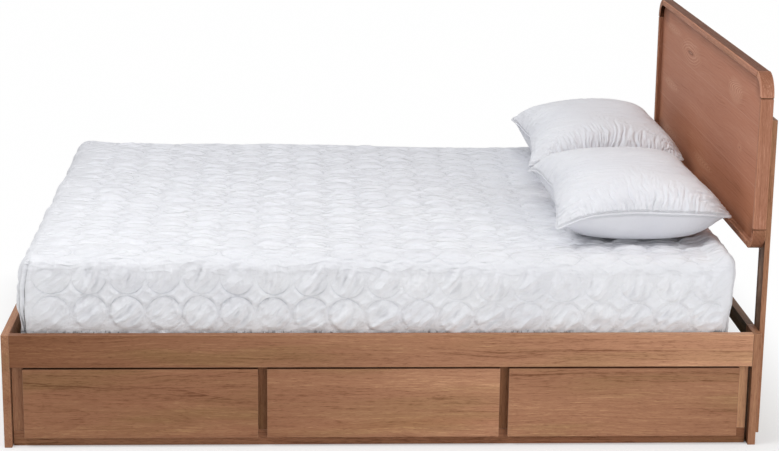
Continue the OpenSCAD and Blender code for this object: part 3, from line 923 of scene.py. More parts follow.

# painted shade on faces that lie in shadow, and painted light on a few lit faces, darker or lighter than their
# board: axis, side of it, and by how much
PAINTED_LIGHT_FACES = {
    "headboard_top_rail": [(2, 1, -0.70), (0, -1, 0.22)],
    "headboard_bottom_rail": [(2, -1, -0.45)],
    "headboard_corner_top_near": [(2, 1, -0.70)],
    "headboard_corner_top_far": [(2, 1, -0.50), (1, -1, -0.60), (2, -1, -0.50)],
    "headboard_corner_bottom_near": [(2, -1, -0.40)],
    "headboard_post_near": [(0, -1, -0.76), (1, -1, 0.22)],
    "head_leg_near": [(0, -1, -0.65)],
    "head_cross_rail": [(0, -1, -0.88), (2, 1, -0.42)],
    "side_rail_near": [(2, -1, -0.80)],
    "drawer_1_front": [(2, 1, -0.38)],
    "drawer_2_front": [(2, 1, -0.38)],
    "drawer_3_front": [(2, 1, -0.38)],
    "base_stile_1": [(0, 1, -0.85)],
    "base_stile_2": [(0, 1, -0.70)],
    "base_stile_3": [(0, 1, -0.70)],
}


def bends(edge, degrees):
    """Whether the two faces at an edge meet at more than this angle."""
    return edge.is_manifold and edge.calc_face_angle() > math.radians(degrees)


def dress_board(node, ease=None, source=None):
    """Copies a CAD board as one clean solid with eased arrises and its own grain, and puts it in place."""
    ease = bpy.context.scene.bed_timber.edge_ease if ease is None else ease
    bm = bmesh.new()
    bm.from_mesh(source or frame["nodes"][node].data)
    bmesh.ops.remove_doubles(bm, verts=bm.verts, dist=2e-5)
    bmesh.ops.dissolve_limit(bm, angle_limit=math.radians(0.6), verts=bm.verts, edges=bm.edges)
    # the short edges of an arc stay sharp, except on the rounded corner blocks
    shortest = 0.001 if "corner" in node else 0.0028
    sharp = [e for e in bm.edges if bends(e, EASED_FROM) and e.calc_length() > shortest]
    bmesh.ops.bevel(bm, geom=sharp, offset=ease, segments=2, profile=0.5, affect="EDGES", clamp_overlap=True)
    bmesh.ops.remove_doubles(bm, verts=bm.verts, dist=1e-6)
    # the arrises, which take wear and a painted highlight
    worn = np.array([float(any(bends(e, WORN_AND_LIT_FROM) for e in v.link_edges)) for v in bm.verts])
    for face in bm.faces:
        face.smooth = True
    for edge in bm.edges:
        edge.smooth = not bends(edge, SHARP_FROM)
    mesh = bpy.data.meshes.new(node + "_dressed")
    bm.to_mesh(mesh)
    bm.free()
    piece = new_piece(node + "_dressed", mesh)
    weighted = piece.modifiers.new("Weighted normals", "WEIGHTED_NORMAL")
    weighted.keep_sharp = True
    settle(piece)
    mesh = piece.data
    grain, tone = grain_of(mesh, node)
    facing = read_floats(mesh.vertices, "normal", 3)
    # painted shade, and on a few faces painted light, on the faces listed for this board
    for axis, side, change in PAINTED_LIGHT_FACES.get(node, ()):
        level = spots(mesh)[:, axis] * side
        share = level > level.max() - 0.0008
        if "corner" in node:
            # on a rounded block the painted shade grows bit by bit as it turns
            share = (facing[:, axis] * side).clip(0, 1) ** 0.5 * (abs(facing[:, 0]) < 0.5)
        tone = tone + change * share
    keep_vectors(mesh, "grain", grain)
    keep_numbers(mesh, "tone", tone)
    keep_numbers(mesh, "worn", worn)
    mesh.materials.clear()
    mesh.materials.append(finish(SLOT_OF[node]))
    return take_place(piece, node)


def grain_of(mesh, node):
    """Grain coordinates of every vertex, and a tone for each loose board."""
    points = spots(mesh)
    label = islands(len(points), edge_pairs(mesh))
    grain, tone = np.zeros_like(points), np.zeros(len(points))
    for part in range(label.max() + 1):
        rows = label == part
        at = points[rows]
        lo, hi = at.min(0), at.max(0)
        through, across, along = np.argsort(hi - lo)
        chance = luck(f"{node}.{part}", 4)
        shade = (chance[3] - 0.5) * 0.16
        foot, head, heart = BOARD_TONES.get(node, (shade, shade, 0.12 + 0.3 * chance[1]))
        off_middle = at - (lo + hi) / 2
        lengthwise = at[:, along] - lo[along] + 9 * chance[0]
        crosswise, depth = off_middle[:, across] + heart, off_middle[:, through] + 0.05 * chance[2]
        grain[rows] = np.stack([lengthwise, crosswise, depth], 1)
        tone[rows] = foot + (head - foot) * (at[:, 0] - lo[0]) / max(hi[0] - lo[0], 1e-6)
    if SLOT_OF[node] == "headboard_rim":
        # glue lines where the rim boards meet their corner blocks
        for axis, board in ((2, "headboard_side_near"), (1, "headboard_top_rail")):
            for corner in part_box(board):
                tone[abs(points[:, axis] - corner[axis]) < GLUE_LINE] = -0.8
    return grain, tone


def solids_of(node):
    """The loose solids of a CAD node, each as an array of its vertices."""
    mesh = frame["nodes"][node].data
    points = spots(mesh)
    merged, index = np.unique(np.round(points, 5), axis=0, return_inverse=True)
    label = islands(len(merged), index.ravel()[edge_pairs(mesh)])
    return [merged[label == part] for part in range(label.max() + 1)]


def take_place(piece, *nodes, body=None):
    """The piece rides where these CAD nodes ride and hides them."""
    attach(piece, body or BODY_OF[nodes[0]])
    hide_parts(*nodes)
    return piece


# ---------------------------------------------------------------- operators


class BED_OT_platform(bpy.types.Operator):
    """Makes the boards of the platform: rails, footboard, legs, base frame and runner boards"""

    bl_idname = "bed.platform"
    bl_label = "Platform boards"

    def execute(self, context):
        for node, body in BODY_OF.items():
            if body == "frame" and SLOT_OF[node] in TIMBER_SLOTS and node != "bed_slats":
                dress_board(node)
        return {"FINISHED"}


class BED_OT_slats(bpy.types.Operator):
    """Lays the row of pine slats, each drilled for its screw"""

    bl_idname = "bed.slats"
    bl_label = "Slats"

    def execute(self, context):
        slats = sorted(solids_of("bed_slats"), key=lambda at: at[:, 0].min())
        lo, hi = slats[0].min(0), slats[0].max(0)
        screw = min(solids_of("slat_screws"), key=lambda at: at[:, 0].min())
        head = screw[screw[:, 2] > screw[:, 2].max() - 0.001]
        row = new_piece("slat_row", mesh_from("slat_row", [(0, 0, 0)], []))
        run_tree(
            row,
            self.slat_row(),
            Count=len(slats),
            Pitch=float(slats[1][:, 0].min() - lo[0]),
            Middle=tuple(float(v) for v in (lo + hi) / 2),
            Size=tuple(float(v) for v in hi - lo),
            Hole_place=float((head[:, 1].max() + head[:, 1].min()) / 2),
            Hole=float((head[:, 0].max() - head[:, 0].min()) / 2 + 0.0003),
            Surface=finish("raw_pine"),
        )
        dress_board("bed_slats", SLAT_EASE, row.data)
        bpy.data.objects.remove(row)
        return {"FINISHED"}

    def slat_row(self):
        """One slat with a countersunk hole at its near end, repeated at an even pitch towards the head."""
        tree, t, take, end = modifier_tree(
            "Slat row",
            [
                ("Count", "Int", 14),
                ("Pitch", "Float", 0.14),
                ("Middle", "Vector", (0, 0, 0)),
                ("Size", "Vector", (0.07, 1.5, 0.018)),
                ("Hole place", "Float", 0.0),
                ("Hole", "Float", 0.004),
                ("Surface", "Material", None),
            ],
        )
        _, y, _ = t.xyz(take["Middle"])
        _, _, thick = t.xyz(take["Size"])
        board = t.node("GeometryNodeMeshCube", {"Size": take["Size"]}).outputs[0]
        drill = {"Vertices": 20, "Radius": take["Hole"], "Depth": thick}
        sink = t.node("GeometryNodeMeshCylinder", drill).outputs[0]
        at = t.vector(0.0, take["Hole place"] - y, thick - 0.0024)
        sink = t.node("GeometryNodeTransform", {0: sink, "Translation": at}).outputs[0]
        meshes = {"Mesh 1": board, "Mesh 2": sink}
        cut = t.node("GeometryNodeMeshBoolean", meshes, operation="DIFFERENCE").outputs[0]
        step = t.vector(take["Pitch"], 0.0, 0.0)
        places = {"Count": take["Count"], "Start Location": take["Middle"], "Offset": step}
        line = t.node("GeometryNodeMeshLine", places).outputs[0]
        row = t.node("GeometryNodeInstanceOnPoints", {"Points": line, "Instance": cut}).outputs[0]
        close_tree(t, end, row, take["Surface"])
        return tree


# fasteners: node, shape of the head, socket
FASTENERS = {
    "slat_screws": ("flat", "cross"),
    "bracket_screws": ("pan", "cross"),
    "post_bolts": ("pan", "hex"),
}


class BED_OT_fasteners(bpy.types.Operator):
    """Sets the screws and bolts with their sockets, each turned by chance as a fitter leaves it"""

    bl_idname = "bed.fasteners"
    bl_label = "Screws and bolts"

    def execute(self, context):
        tree = self.fastener_tree()
        for node, (shape, socket) in FASTENERS.items():
            seats, axes, sizes = [], [], []
            for at in solids_of(node):
                seat, axis, measures = self.measure(at)
                seats.append(seat)
                axes.append(axis)
                sizes.append(measures)
            screw = new_piece("one_" + node, self.screw("one_" + node, *sizes[0], shape, socket))
            points = new_piece(node + "_set", mesh_from(node + "_set", seats, []))
            keep_vectors(points.data, "axis", axes)
            run_tree(points, tree, Screw=screw, Seed=len(seats), Surface=finish(SLOT_OF[node]))
            bpy.data.objects.remove(screw)
            take_place(points, node)
        return {"FINISHED"}

    def measure(self, at):
        """Where a plain fastener's head sits, which way it looks, and its shank, length, head and height."""
        lo, hi = at.min(0), at.max(0)
        size, middle = hi - lo, (lo + hi) / 2
        # its axis is the one across which it is as wide as it is high
        k = int(np.argmin([abs(size[1] - size[2]), abs(size[0] - size[2]), abs(size[0] - size[1])]))
        wide = np.linalg.norm(np.delete(at - middle, k, axis=1), axis=1)
        head = at[wide > wide.max() - 0.0003, k]
        out = 1.0 if head.max() > middle[k] else -1.0
        seat, axis = middle.copy(), np.zeros(3)
        seat[k], axis[k] = (head.min() if out > 0 else head.max()), out
        return seat, axis, (wide[wide > 1e-4].min(), size[k] - np.ptp(head), wide.max(), np.ptp(head))

    def screw(self, name, shank, length, head, height, shape, socket):
        """One screw: tip, shank and head with its socket; the head's seat is at 0 and it looks up."""
        top = height + (0.0002 if shape == "flat" else 0.0)
        profile = [(shank * 0.25, -length), (shank, -length + 2.0 * shank)]
        if shape == "flat":
            profile += [(shank, 0.0), (head * 0.97, top - 0.0003), (head * 0.9, top)]
        else:
            profile += [(shank, 0.0), (head, 0.0), (head, height * 0.3)]
            profile += [(head * 0.86, height * 0.78), (head * 0.64, top)]
        n = 12
        turns = [2 * math.pi * i / n for i in range(n)]
        rings = [[(r * math.cos(a), r * math.sin(a), z) for a in turns] for r, z in profile]
        if socket == "hex":
            reach = [head * (0.50 if i % 2 == 0 else 0.50 * math.cos(math.pi / 6)) for i in range(n)]
            mouth = [(r * math.cos(a), r * math.sin(a)) for r, a in zip(reach, turns)]
        else:
            arm, half = head * 0.56, head * 0.12
            corner = [(arm, -half), (arm, half), (half, half)]
            quarters = ((1, 0), (0, 1), (-1, 0), (0, -1))
            mouth = [(c * x - s * y, s * x + c * y) for c, s in quarters for x, y in corner]
            # starts where the head's rings start, so that the faces between them don't twist
            mouth = mouth[-11:] + mouth[:-11]
        bottom = top - height * 0.62
        rings += [[(x, y, top) for x, y in mouth], [(x * 0.86, y * 0.86, bottom) for x, y in mouth]]
        points = [p for ring in rings for p in ring]
        faces = [tuple(range(n - 1, -1, -1))]
        for start in range(0, (len(rings) - 1) * n, n):
            steps = [(start + i, start + (i + 1) % n) for i in range(n)]
            faces += [(here, there, there + n, here + n) for here, there in steps]
        faces.append(tuple(range((len(rings) - 1) * n, len(rings) * n)))
        return mesh_from(name, points, faces)

    def fastener_tree(self):
        """Sets one screw at every point, along that point's axis, turned by chance."""
        inputs = [("Screw", "Object", None), ("Seed", "Int", 1), ("Surface", "Material", None)]
        tree, t, take, end = modifier_tree("Fasteners", inputs)
        one = t.node("GeometryNodeObjectInfo", {"Object": take["Screw"]}, transform_space="ORIGINAL")
        one = one.outputs["Geometry"]
        axis = t.stored("axis", "FLOAT_VECTOR")
        aim = t.node("FunctionNodeAlignRotationToVector", {"Vector": axis}, axis="Z").outputs[0]
        seats = {"Points": take["Geometry"], "Instance": one, "Rotation": aim}
        placed = t.node("GeometryNodeInstanceOnPoints", seats).outputs[0]
        reach = {"Min": 0.0, "Max": FULL_TURN, "Seed": take["Seed"]}
        angle = t.node("FunctionNodeRandomValue", reach, data_type="FLOAT").outputs[1]
        turn = t.vector(0.0, 0.0, Signal(t, angle))
        turned = t.node("GeometryNodeRotateInstances", {"Instances": placed, "Rotation": turn}).outputs[0]
        close_tree(t, end, turned, take["Surface"])
        return tree


class BED_OT_steel(bpy.types.Operator):
    """Makes the drawer slides and the corner brackets, with their pressed edges eased"""

    bl_idname = "bed.steel"
    bl_label = "Slides and brackets"

    def execute(self, context):
        for node, slot in SLOT_OF.items():
            if slot in ("slide_steel", "bracket_steel"):
                dress_board(node, STEEL_EASE)
        return {"FINISHED"}


class BED_OT_headboard(bpy.types.Operator):
    """Makes the headboard: veneered panel, rim with rounded corners and the two posts"""

    bl_idname = "bed.headboard"
    bl_label = "Headboard"

    def execute(self, context):
        for node in BODY_OF:
            if SLOT_OF[node] == "headboard_rim":
                dress_board(node, context.scene.bed_timber.rim_ease)
            elif SLOT_OF[node] == "headboard_veneer":
                dress_board(node)
        return {"FINISHED"}


class BED_OT_drawers(bpy.types.Operator):
    """Makes the three drawers: stained fronts and plywood boxes"""

    bl_idname = "bed.drawers"
    bl_label = "Drawers"

    def execute(self, context):
        for node, body in BODY_OF.items():
            if body.startswith("drawer_") and SLOT_OF[node] in TIMBER_SLOTS:
                dress_board(node)
        return {"FINISHED"}


def waves(x, y, seed, reach, count=7):
    """Slow random undulation over x and y, about -1 to 1; reach is its shortest wavelength."""
    rng = np.random.default_rng(seed)
    total = np.zeros_like(x, dtype=float)
    for _ in range(count):
        turn, phase, size = rng.uniform(0, 2 * math.pi), rng.uniform(0, 2 * math.pi), rng.uniform(1, 2.6)
        k = 2 * math.pi / (reach * size)
        total += np.sin(k * (x * math.cos(turn) + y * math.sin(turn)) + phase)
    return total / math.sqrt(count)


def ease_in(value, low, high):
    """0 below low, 1 above high, smooth between."""
    share = np.clip((value - low) / (high - low), 0, 1)
    return share * share * (3 - 2 * share)


class BED_OT_cover(bpy.types.Operator):
    """Makes the quilted cover: a fitted shell of stitched rings with rolled edges, open corners and a hem"""

    bl_idname = "bed.cover"
    bl_label = "Quilted cover"

    def execute(self, context):
        s = context.scene.bed_cover
        cover = new_piece("quilted_cover_sewn", self.shell(s))
        run_tree(
            cover,
            self.quilting(),
            Pitch=s.pitch,
            Ring=s.ring,
            Puff=s.puff,
            Puckers=s.puckers,
            Seed=4,
            Surface=finish("quilted_cotton"),
        )
        shade_smooth(cover.data)
        take_place(cover, "quilted_cover")
        return {"FINISHED"}

    def shell(self, s):
        """The cover before quilting: a skin of square cells, hem, inner wall, cap and cloth coordinates."""
        lo, hi = corners("quilted_cover")
        middle = (lo + hi) / 2
        # the filling swells back out to the box
        inset = s.puff * 0.62
        a, b = (hi - lo)[:2] / 2 - inset
        top, bottom, r = hi[2] - inset, lo[2] + 0.001, s.roll
        nx, ny, nz = (int(round(size / s.cell)) for size in (2 * a, 2 * b, top - bottom))
        xs, ys = np.linspace(-a, a, nx + 1), np.linspace(-b, b, ny + 1)
        gx, gy = np.meshgrid(xs, ys, indexing="ij")
        top_ids = np.arange((nx + 1) * (ny + 1)).reshape(nx + 1, ny + 1)
        rim = [(i, 0) for i in range(nx)] + [(nx, j) for j in range(ny)]
        rim = np.array(rim + [(i, ny) for i in range(nx, 0, -1)] + [(0, j) for j in range(ny, 0, -1)])
        rim_x, rim_y, around = xs[rim[:, 0]], ys[rim[:, 1]], len(rim)
        box = [np.stack([gx.ravel(), gy.ravel(), np.full(gx.size, top)], 1)]
        rings = [top_ids[rim[:, 0], rim[:, 1]]]
        for k in range(1, nz + 1):
            rings.append(gx.size + (k - 1) * around + np.arange(around))
            box.append(np.stack([rim_x, rim_y, np.full(around, top + (bottom - top) * k / nz)], 1))
        box = np.concatenate(box)
        x, y, depth = box[:, 0], box[:, 1], top - box[:, 2]
        core = [np.clip(x, r - a, a - r), np.clip(y, r - b, b - r), np.minimum(box[:, 2], top - r)]
        skin = rolled(box, np.stack(core, 1), r)

        def over(place, half):
            """Length along the cloth from its middle, over the rolled edge."""
            bent = r * np.arctan(np.maximum(abs(place) - half + r, 0) / r)
            return np.sign(place) * (np.minimum(abs(place), half - r) + bent)

        # cloth coordinates: lengths along the cloth from the middle, over the edge and down the side
        arc = r * (math.pi / 2 - np.arctan(np.maximum(r - depth, 0) / r))
        down = np.where(depth < r, arc, r * math.pi / 2 + depth - r)
        u, v = over(x, a), over(y, b)
        on_side = np.arange(len(box)) >= gx.size
        near_far = on_side & (abs(abs(y) - b) < 1e-9)
        ends = on_side & ~near_far
        v = np.where(near_far, np.sign(y) * (b - r + down), v)
        u = np.where(ends, np.sign(x) * (a - r + down), u)
        # the corner seams run down beside the corners and meet them at the bottom
        fold = s.fold * (1 - ease_in(depth, 0.10, 0.23))
        to_end, to_side = a - abs(x), b - abs(y)
        seam = np.where(near_far, to_end - fold, to_side + fold)
        seam = abs(np.where(on_side, seam, np.hypot(to_end, to_side) + fold))
        # how far the creases stand upright: only on the long sides
        lay = np.where(near_far, 0.75, 0.0)
        cloth = np.stack([u - s.first_column, v - s.first_row, np.where(on_side, depth, 0)], 1)
        skin = self.slack(skin, a, b, top)
        # hem, inner wall and cap: how far in and at which height each ring of points lies
        points = [skin]
        hem = [(0.004, bottom - 0.001), (s.wall, bottom), (s.wall, bottom + 0.03)]
        for inward, level in (*hem, (s.wall, top - 0.040), (s.wall + 0.022, top - 0.022)):
            half_a, half_b, radius = a - inward, b - inward, max(r - inward, 0.006)
            px, py = rim_x * half_a / a, rim_y * half_b / b
            cx = np.clip(px, radius - half_a, half_a - radius)
            cy = np.clip(py, radius - half_b, half_b - radius)
            far = np.maximum(np.hypot(px - cx, py - cy), 1e-9)
            ring_x, ring_y = cx + (px - cx) * radius / far, cy + (py - cy) * radius / far
            ring = np.stack([ring_x, ring_y, np.full(around, level)], 1)
            rings.append(sum(len(p) for p in points) + np.arange(around))
            points.append(ring)
        faces = grid_faces(top_ids)
        for upper, lower in zip(rings, rings[1:]):
            faces += list(zip(upper, lower, np.roll(lower, -1), np.roll(upper, -1)))
        faces.append(tuple(rings[-1]))
        points = np.concatenate(points) + [middle[0], middle[1], 0]
        mesh = mesh_from("quilted_cover_sewn", points, faces)
        rest = np.zeros(len(points) - len(skin))
        keep_vectors(mesh, "cloth", np.concatenate([cloth, np.zeros((len(rest), 3))]))
        for name, values in (("lay", lay), ("seam", seam), ("filling", np.ones(len(skin)))):
            keep_numbers(mesh, name, np.concatenate([values, rest]))
        return mesh

    def slack(self, skin, a, b, top):
        """Lets the cover sag and swell a little: higher at the foot, flatter under the pillows."""
        x, y, z = skin.T
        upper = ease_in(z, 0.40, top - 0.02)
        out = skin.copy()
        out[:, 2] += upper * (0.010 - 0.0165 * (x + a) / (2 * a) + 0.0030 * waves(x, y, 11, 0.35))
        edge = ease_in(np.maximum(abs(x) / a, abs(y) / b), 0.90, 0.995)
        out[:, 2] += upper * edge * 0.0035 * waves(x, y, 5, 0.16)
        belly = ease_in(z, 0.345, 0.40) * (1 - ease_in(z, 0.47, top + 0.01))
        swell = belly * (0.0035 + 0.0025 * waves(x + z, y - z, 23, 0.22))
        flat = np.stack([np.clip(x / a, -1, 1) ** 9, np.clip(y / b, -1, 1) ** 9], 1)
        out[:, :2] += flat * swell[:, None]
        # the head end stands straight, the foot end hangs looser
        out[:, 2] += upper * ease_in(x / a, 0.930, 0.985) * 0.026
        out[:, 0] += ease_in(x / a, 0.950, 0.985) * ease_in(z, 0.36, 0.42) * 0.004
        hang = ease_in(top - z, 0.015, 0.10) * (1 - 0.4 * ease_in(top - z, 0.14, 0.24))
        out[:, 0] -= np.clip(-x / a, 0, 1) ** 9 * 0.010 * hang
        return out

    def quilting(self):
        """Pushes the cover out inside its stitched rings, creases each one and tucks the sides in below."""
        tree, t, take, end = modifier_tree(
            "Quilting",
            [
                ("Pitch", "Float", 0.1),
                ("Ring", "Float", 0.1),
                ("Puff", "Float", 0.006),
                ("Puckers", "Float", 0.004),
                ("Seed", "Int", 1),
                ("Surface", "Material", None),
            ],
        )
        u, v, depth = t.xyz(t.stored("cloth", "FLOAT_VECTOR"))
        pitch, seed, seam, lay = take["Pitch"], take["Seed"], t.stored("seam"), t.stored("lay")
        warp = t.noises(t.vector(u * 6.0, v * 6.0, seed * 1.0), 1.0, 1.0)
        skew, depth_row = askew(t, u, v, depth)
        v = v + skew
        u, v = u + (warp[0] - 0.5) * 0.012, v + (warp[1] - 0.5) * 0.012
        column, row = t.math("FLOOR", u / pitch), t.math("FLOOR", v / pitch)
        chance = t.chance(t.vector(column, row, seed))
        radius = take["Ring"] / 2 * (0.97 + chance[2] * 0.05)
        du = u - (column + 0.5) * pitch + (chance[0] - 0.5) * 0.004
        dv = v - (row + 0.5) * pitch + (chance[1] - 0.5) * 0.004
        far = t.math("SQRT", du * du + dv * dv)
        share = far / radius
        inside = (1 - share * share).clip()
        star = (far - radius).smooth(0.0, 0.018)
        east, _, _ = t.xyz(t.node("GeometryNodeInputPosition").outputs[0])
        at_head = east.smooth(0.93, 0.972, 1.0, 0.45)
        turn = lay * depth.smooth(0.05, 0.2, 1.65, 0.95) + (chance[0] - 0.5) * 0.6
        cosine, sine = t.math("COSINE", turn), t.math("SINE", turn)
        along, across = du * cosine + dv * sine, dv * cosine - du * sine
        # one or two bent ridges across each ring, and rough creases between them
        other = t.chance(t.vector(row, column, seed + 5))
        bent = across - (other[0] - 0.5) * 0.030 - along * along * (other[1] - 0.5) * 14.0
        first = t.bell(bent, 0.00009)
        apart = (chance[1] - 0.5).smooth(-0.1, 0.1, -0.030, 0.030)
        second = t.bell(bent + apart, 0.00006) * other[2].smooth(0.4, 0.7)
        ring_number = chance[1] * 37.0 + column * 3.1 + row * 1.7
        rough = t.noise(t.vector(along / 0.06, across / 0.017, ring_number), 1.0, 1.0, 0.5) - 0.5
        ridge = (first * (0.4 + other[1] * 0.6) + second * 0.6) * (1 - lay * 0.6) + rough * (2.0 + lay * 1.2)
        drape = t.noise(t.vector((u + v * lay) / 0.16, (v - u * lay) / 0.028, seed * 2.1), 1.0, 2.0, 0.5)
        pull = (1 - abs(drape - 0.5) * 7.0).clip()
        lumps = t.noise(t.vector(u / 0.04, v / 0.04, seed * 1.3), 1.0, 1.0) - 0.5
        upright = lay.smooth(0.2, 0.6)
        valley = (abs(du) / pitch).smooth(0.36, 0.46)
        lift_top = inside**0.9 * (0.22 + chance[2] * 0.22) + star * 0.15
        lift_top = lift_top + lumps * 0.6 * (inside + star) - valley * 0.12
        # on the sides the seam pulls hard where two rows of rings meet, and hardly elsewhere
        off = far - radius
        middle_row = (depth_row - 0.122) / depth_row.smooth(0.11, 0.14, 0.085, 0.055)
        uneven = t.noise(t.vector(u * 13.0, v * 13.0, seed * 1.9), 1.0, 1.0).smooth(0.25, 0.55, 0.45, 1.0)
        held = t.bell(middle_row) * uneven * u.smooth(0.5, 1.3, 0.95, 0.6) + 0.12
        groove = t.bell(off, 0.00004)
        shoulder = t.bell((off - depth_row.smooth(0.116, 0.128, 0.009, -0.008)) / 0.0060)
        lift_side = 0.35 + lumps * 0.9 + (shoulder * 0.9 - groove * 0.55) * held
        lift = take["Puff"] * (lift_top * (1 - upright) + lift_side * upright)
        puckers = ridge * inside**0.5 * (1.45 + upright * 1.35)
        puckers = puckers + pull * (1.3 - upright * 0.95) * (inside**0.5 + star)
        lift = lift + take["Puckers"] * puckers
        # the edges at the foot and on the far side stay calm
        calm = t.math("MINIMUM", abs(u), abs(v - FAR_EDGE_V)).smooth(0.02, 0.08, 0.4, 1.0)
        lift = lift * at_head * calm
        pleat = t.noise(t.vector(u / 0.022, v / 0.022, 5.0), 1.0, 1.0)
        tuck = (1 - abs(pleat - 0.5) * 11.0).clip() * -0.0055 * depth.smooth(0.198, 0.222)
        foot = u.smooth(1.2, 0.6)
        tuck = tuck - seam.smooth(0.0065, 0.0) * 0.006 * foot
        tuck = tuck + seam.smooth(0.004, 0.012) * seam.smooth(0.030, 0.016) * 0.004 * foot
        seam = seam.smooth(0.004, 0.024)
        moved = t.raise_surface(take["Geometry"], (lift * seam + tuck) * t.stored("filling"))
        # the thread fades where the seam doesn't pull, and at the corner seams
        loose = (1 - held).clip() * upright * 0.0028 + (1 - seam) * 0.02
        for name, value in (("off_ring", off), ("loose", loose)):
            inputs = {"Geometry": moved, "Name": name, "Value": value}
            store = t.node("GeometryNodeStoreNamedAttribute", inputs, data_type="FLOAT", domain="POINT")
            moved = store.outputs[0]
        close_tree(t, end, moved, take["Surface"])
        return tree


def piping_tree():
    """Sweeps a thin cord along a seam line."""
    inputs = [("Radius", "Float", 0.003), ("Step", "Float", 0.009), ("Surface", "Material", None)]
    tree, t, take, end = modifier_tree("Piping", inputs)
    line = t.node("GeometryNodeMeshToCurve", {0: take["Geometry"]}).outputs[0]
    steps = {"Curve": line, "Length": take["Step"]}
    even = t.node("GeometryNodeResampleCurve", steps, mode="LENGTH").outputs[0]
    ring = t.node("GeometryNodeCurvePrimitiveCircle", {"Resolution": 8, "Radius": take["Radius"]}).outputs[0]
    cord = t.node("GeometryNodeCurveToMesh", {"Curve": even, "Profile Curve": ring}).outputs[0]
    close_tree(t, end, cord, take["Surface"])
    return tree


class BED_OT_mattress(bpy.types.Operator):
    """Makes the mattress in its cover: a ticking block with rolled edges and a tape edge along its bottom"""

    bl_idname = "bed.mattress"
    bl_label = "Mattress"

    def execute(self, context):
        lo, hi = corners("mattress")
        middle, half = (lo + hi) / 2, (hi - lo) / 2
        cell, r = 0.024, 0.030
        bm = bmesh.new()
        bmesh.ops.create_cube(bm, size=2.0)
        for axis in range(3):
            cuts = int(2 * half[axis] / cell)
            edges = [e for e in bm.edges if abs((e.verts[0].co - e.verts[1].co)[axis]) > 1.9]
            bmesh.ops.subdivide_edges(bm, edges=edges, cuts=cuts, use_grid_fill=True)
        mesh = bpy.data.meshes.new("mattress_ticking")
        bm.to_mesh(mesh)
        bm.free()
        box = spots(mesh) * half
        skin = rolled(box, np.clip(box, r - half, half - r), r)
        tufts = 0.003 * np.cos(skin[:, 0] * 26) * np.cos(skin[:, 1] * 26)
        # the top lies a little under the cover
        on_face = abs(skin[:, 2]) > half[2] - 0.004
        skin[:, 2] += np.where(skin[:, 2] < 0, abs(tufts), -0.012 - abs(tufts)) * on_face
        mesh.vertices.foreach_set("co", (skin + middle).ravel())
        mesh.update()
        x, y, z = skin.T
        keep_vectors(mesh, "cloth", np.stack([x + z, y + z, z], 1))
        block = new_piece("mattress_block", mesh)
        mesh.materials.append(finish("mattress_ticking"))
        shade_smooth(mesh)
        take_place(block, "mattress")
        self.tape(middle, half, lo, r)
        return {"FINISHED"}

    def tape(self, middle, half, lo, r):
        """The tape edge along the bottom of the mattress."""
        turns = []
        inner, bend = half[:2] - r, r - 0.002
        for quarter, (cx, cy) in enumerate(((1, 1), (-1, 1), (-1, -1), (1, -1))):
            for step in range(7):
                angle = math.pi / 2 * (quarter + step / 6)
                x = middle[0] + cx * inner[0] + bend * math.cos(angle)
                y = middle[1] + cy * inner[1] + bend * math.sin(angle)
                turns.append((x, y, lo[2] + 0.012))
        round_it = [(i, (i + 1) % len(turns)) for i in range(len(turns))]
        tape = new_piece("mattress_tape", mesh_from("mattress_tape", turns, [], round_it))
        run_tree(tape, piping_tree(), Radius=0.0035, Surface=finish("mattress_ticking"))
        keep_vectors(tape.data, "cloth", spots(tape.data))
        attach(tape, "mattress")


# where the four corners of each pillow lie: to the foot or head, to the near or far side
PILLOW_TIPS = {
    "pillow_near": {
        (-1, -1): (0.488, -0.655, 0.598),
        (1, -1): (1.005, -0.648, 0.633),
        (-1, 1): (0.480, 0.004, 0.622),
        (1, 1): (0.985, 0.012, 0.618),
    },
    "pillow_far": {
        (-1, -1): (0.492, 0.082, 0.620),
        (1, -1): (1.006, 0.090, 0.640),
        (-1, 1): (0.508, 0.764, 0.640),
        (1, 1): (1.002, 0.735, 0.662),
    },
}

# how much fuller than its solid each pillow stands
PILLOW_RISE = {"pillow_near": 0.002, "pillow_far": 0.015}
# how far the head side of each pillow draws in between its tips
PILLOW_HOLLOW = {"pillow_near": 0.036, "pillow_far": 0.028}

# how the cloth of the cases behaves while they are filled
CASE_CLOTH = {
    "quality": 5,
    "mass": 0.15,
    "air_damping": 2.0,
    "tension_stiffness": 14,
    "compression_stiffness": 2.5,
    "shear_stiffness": 3,
    "bending_stiffness": 0.8,
    "use_pressure": True,
}


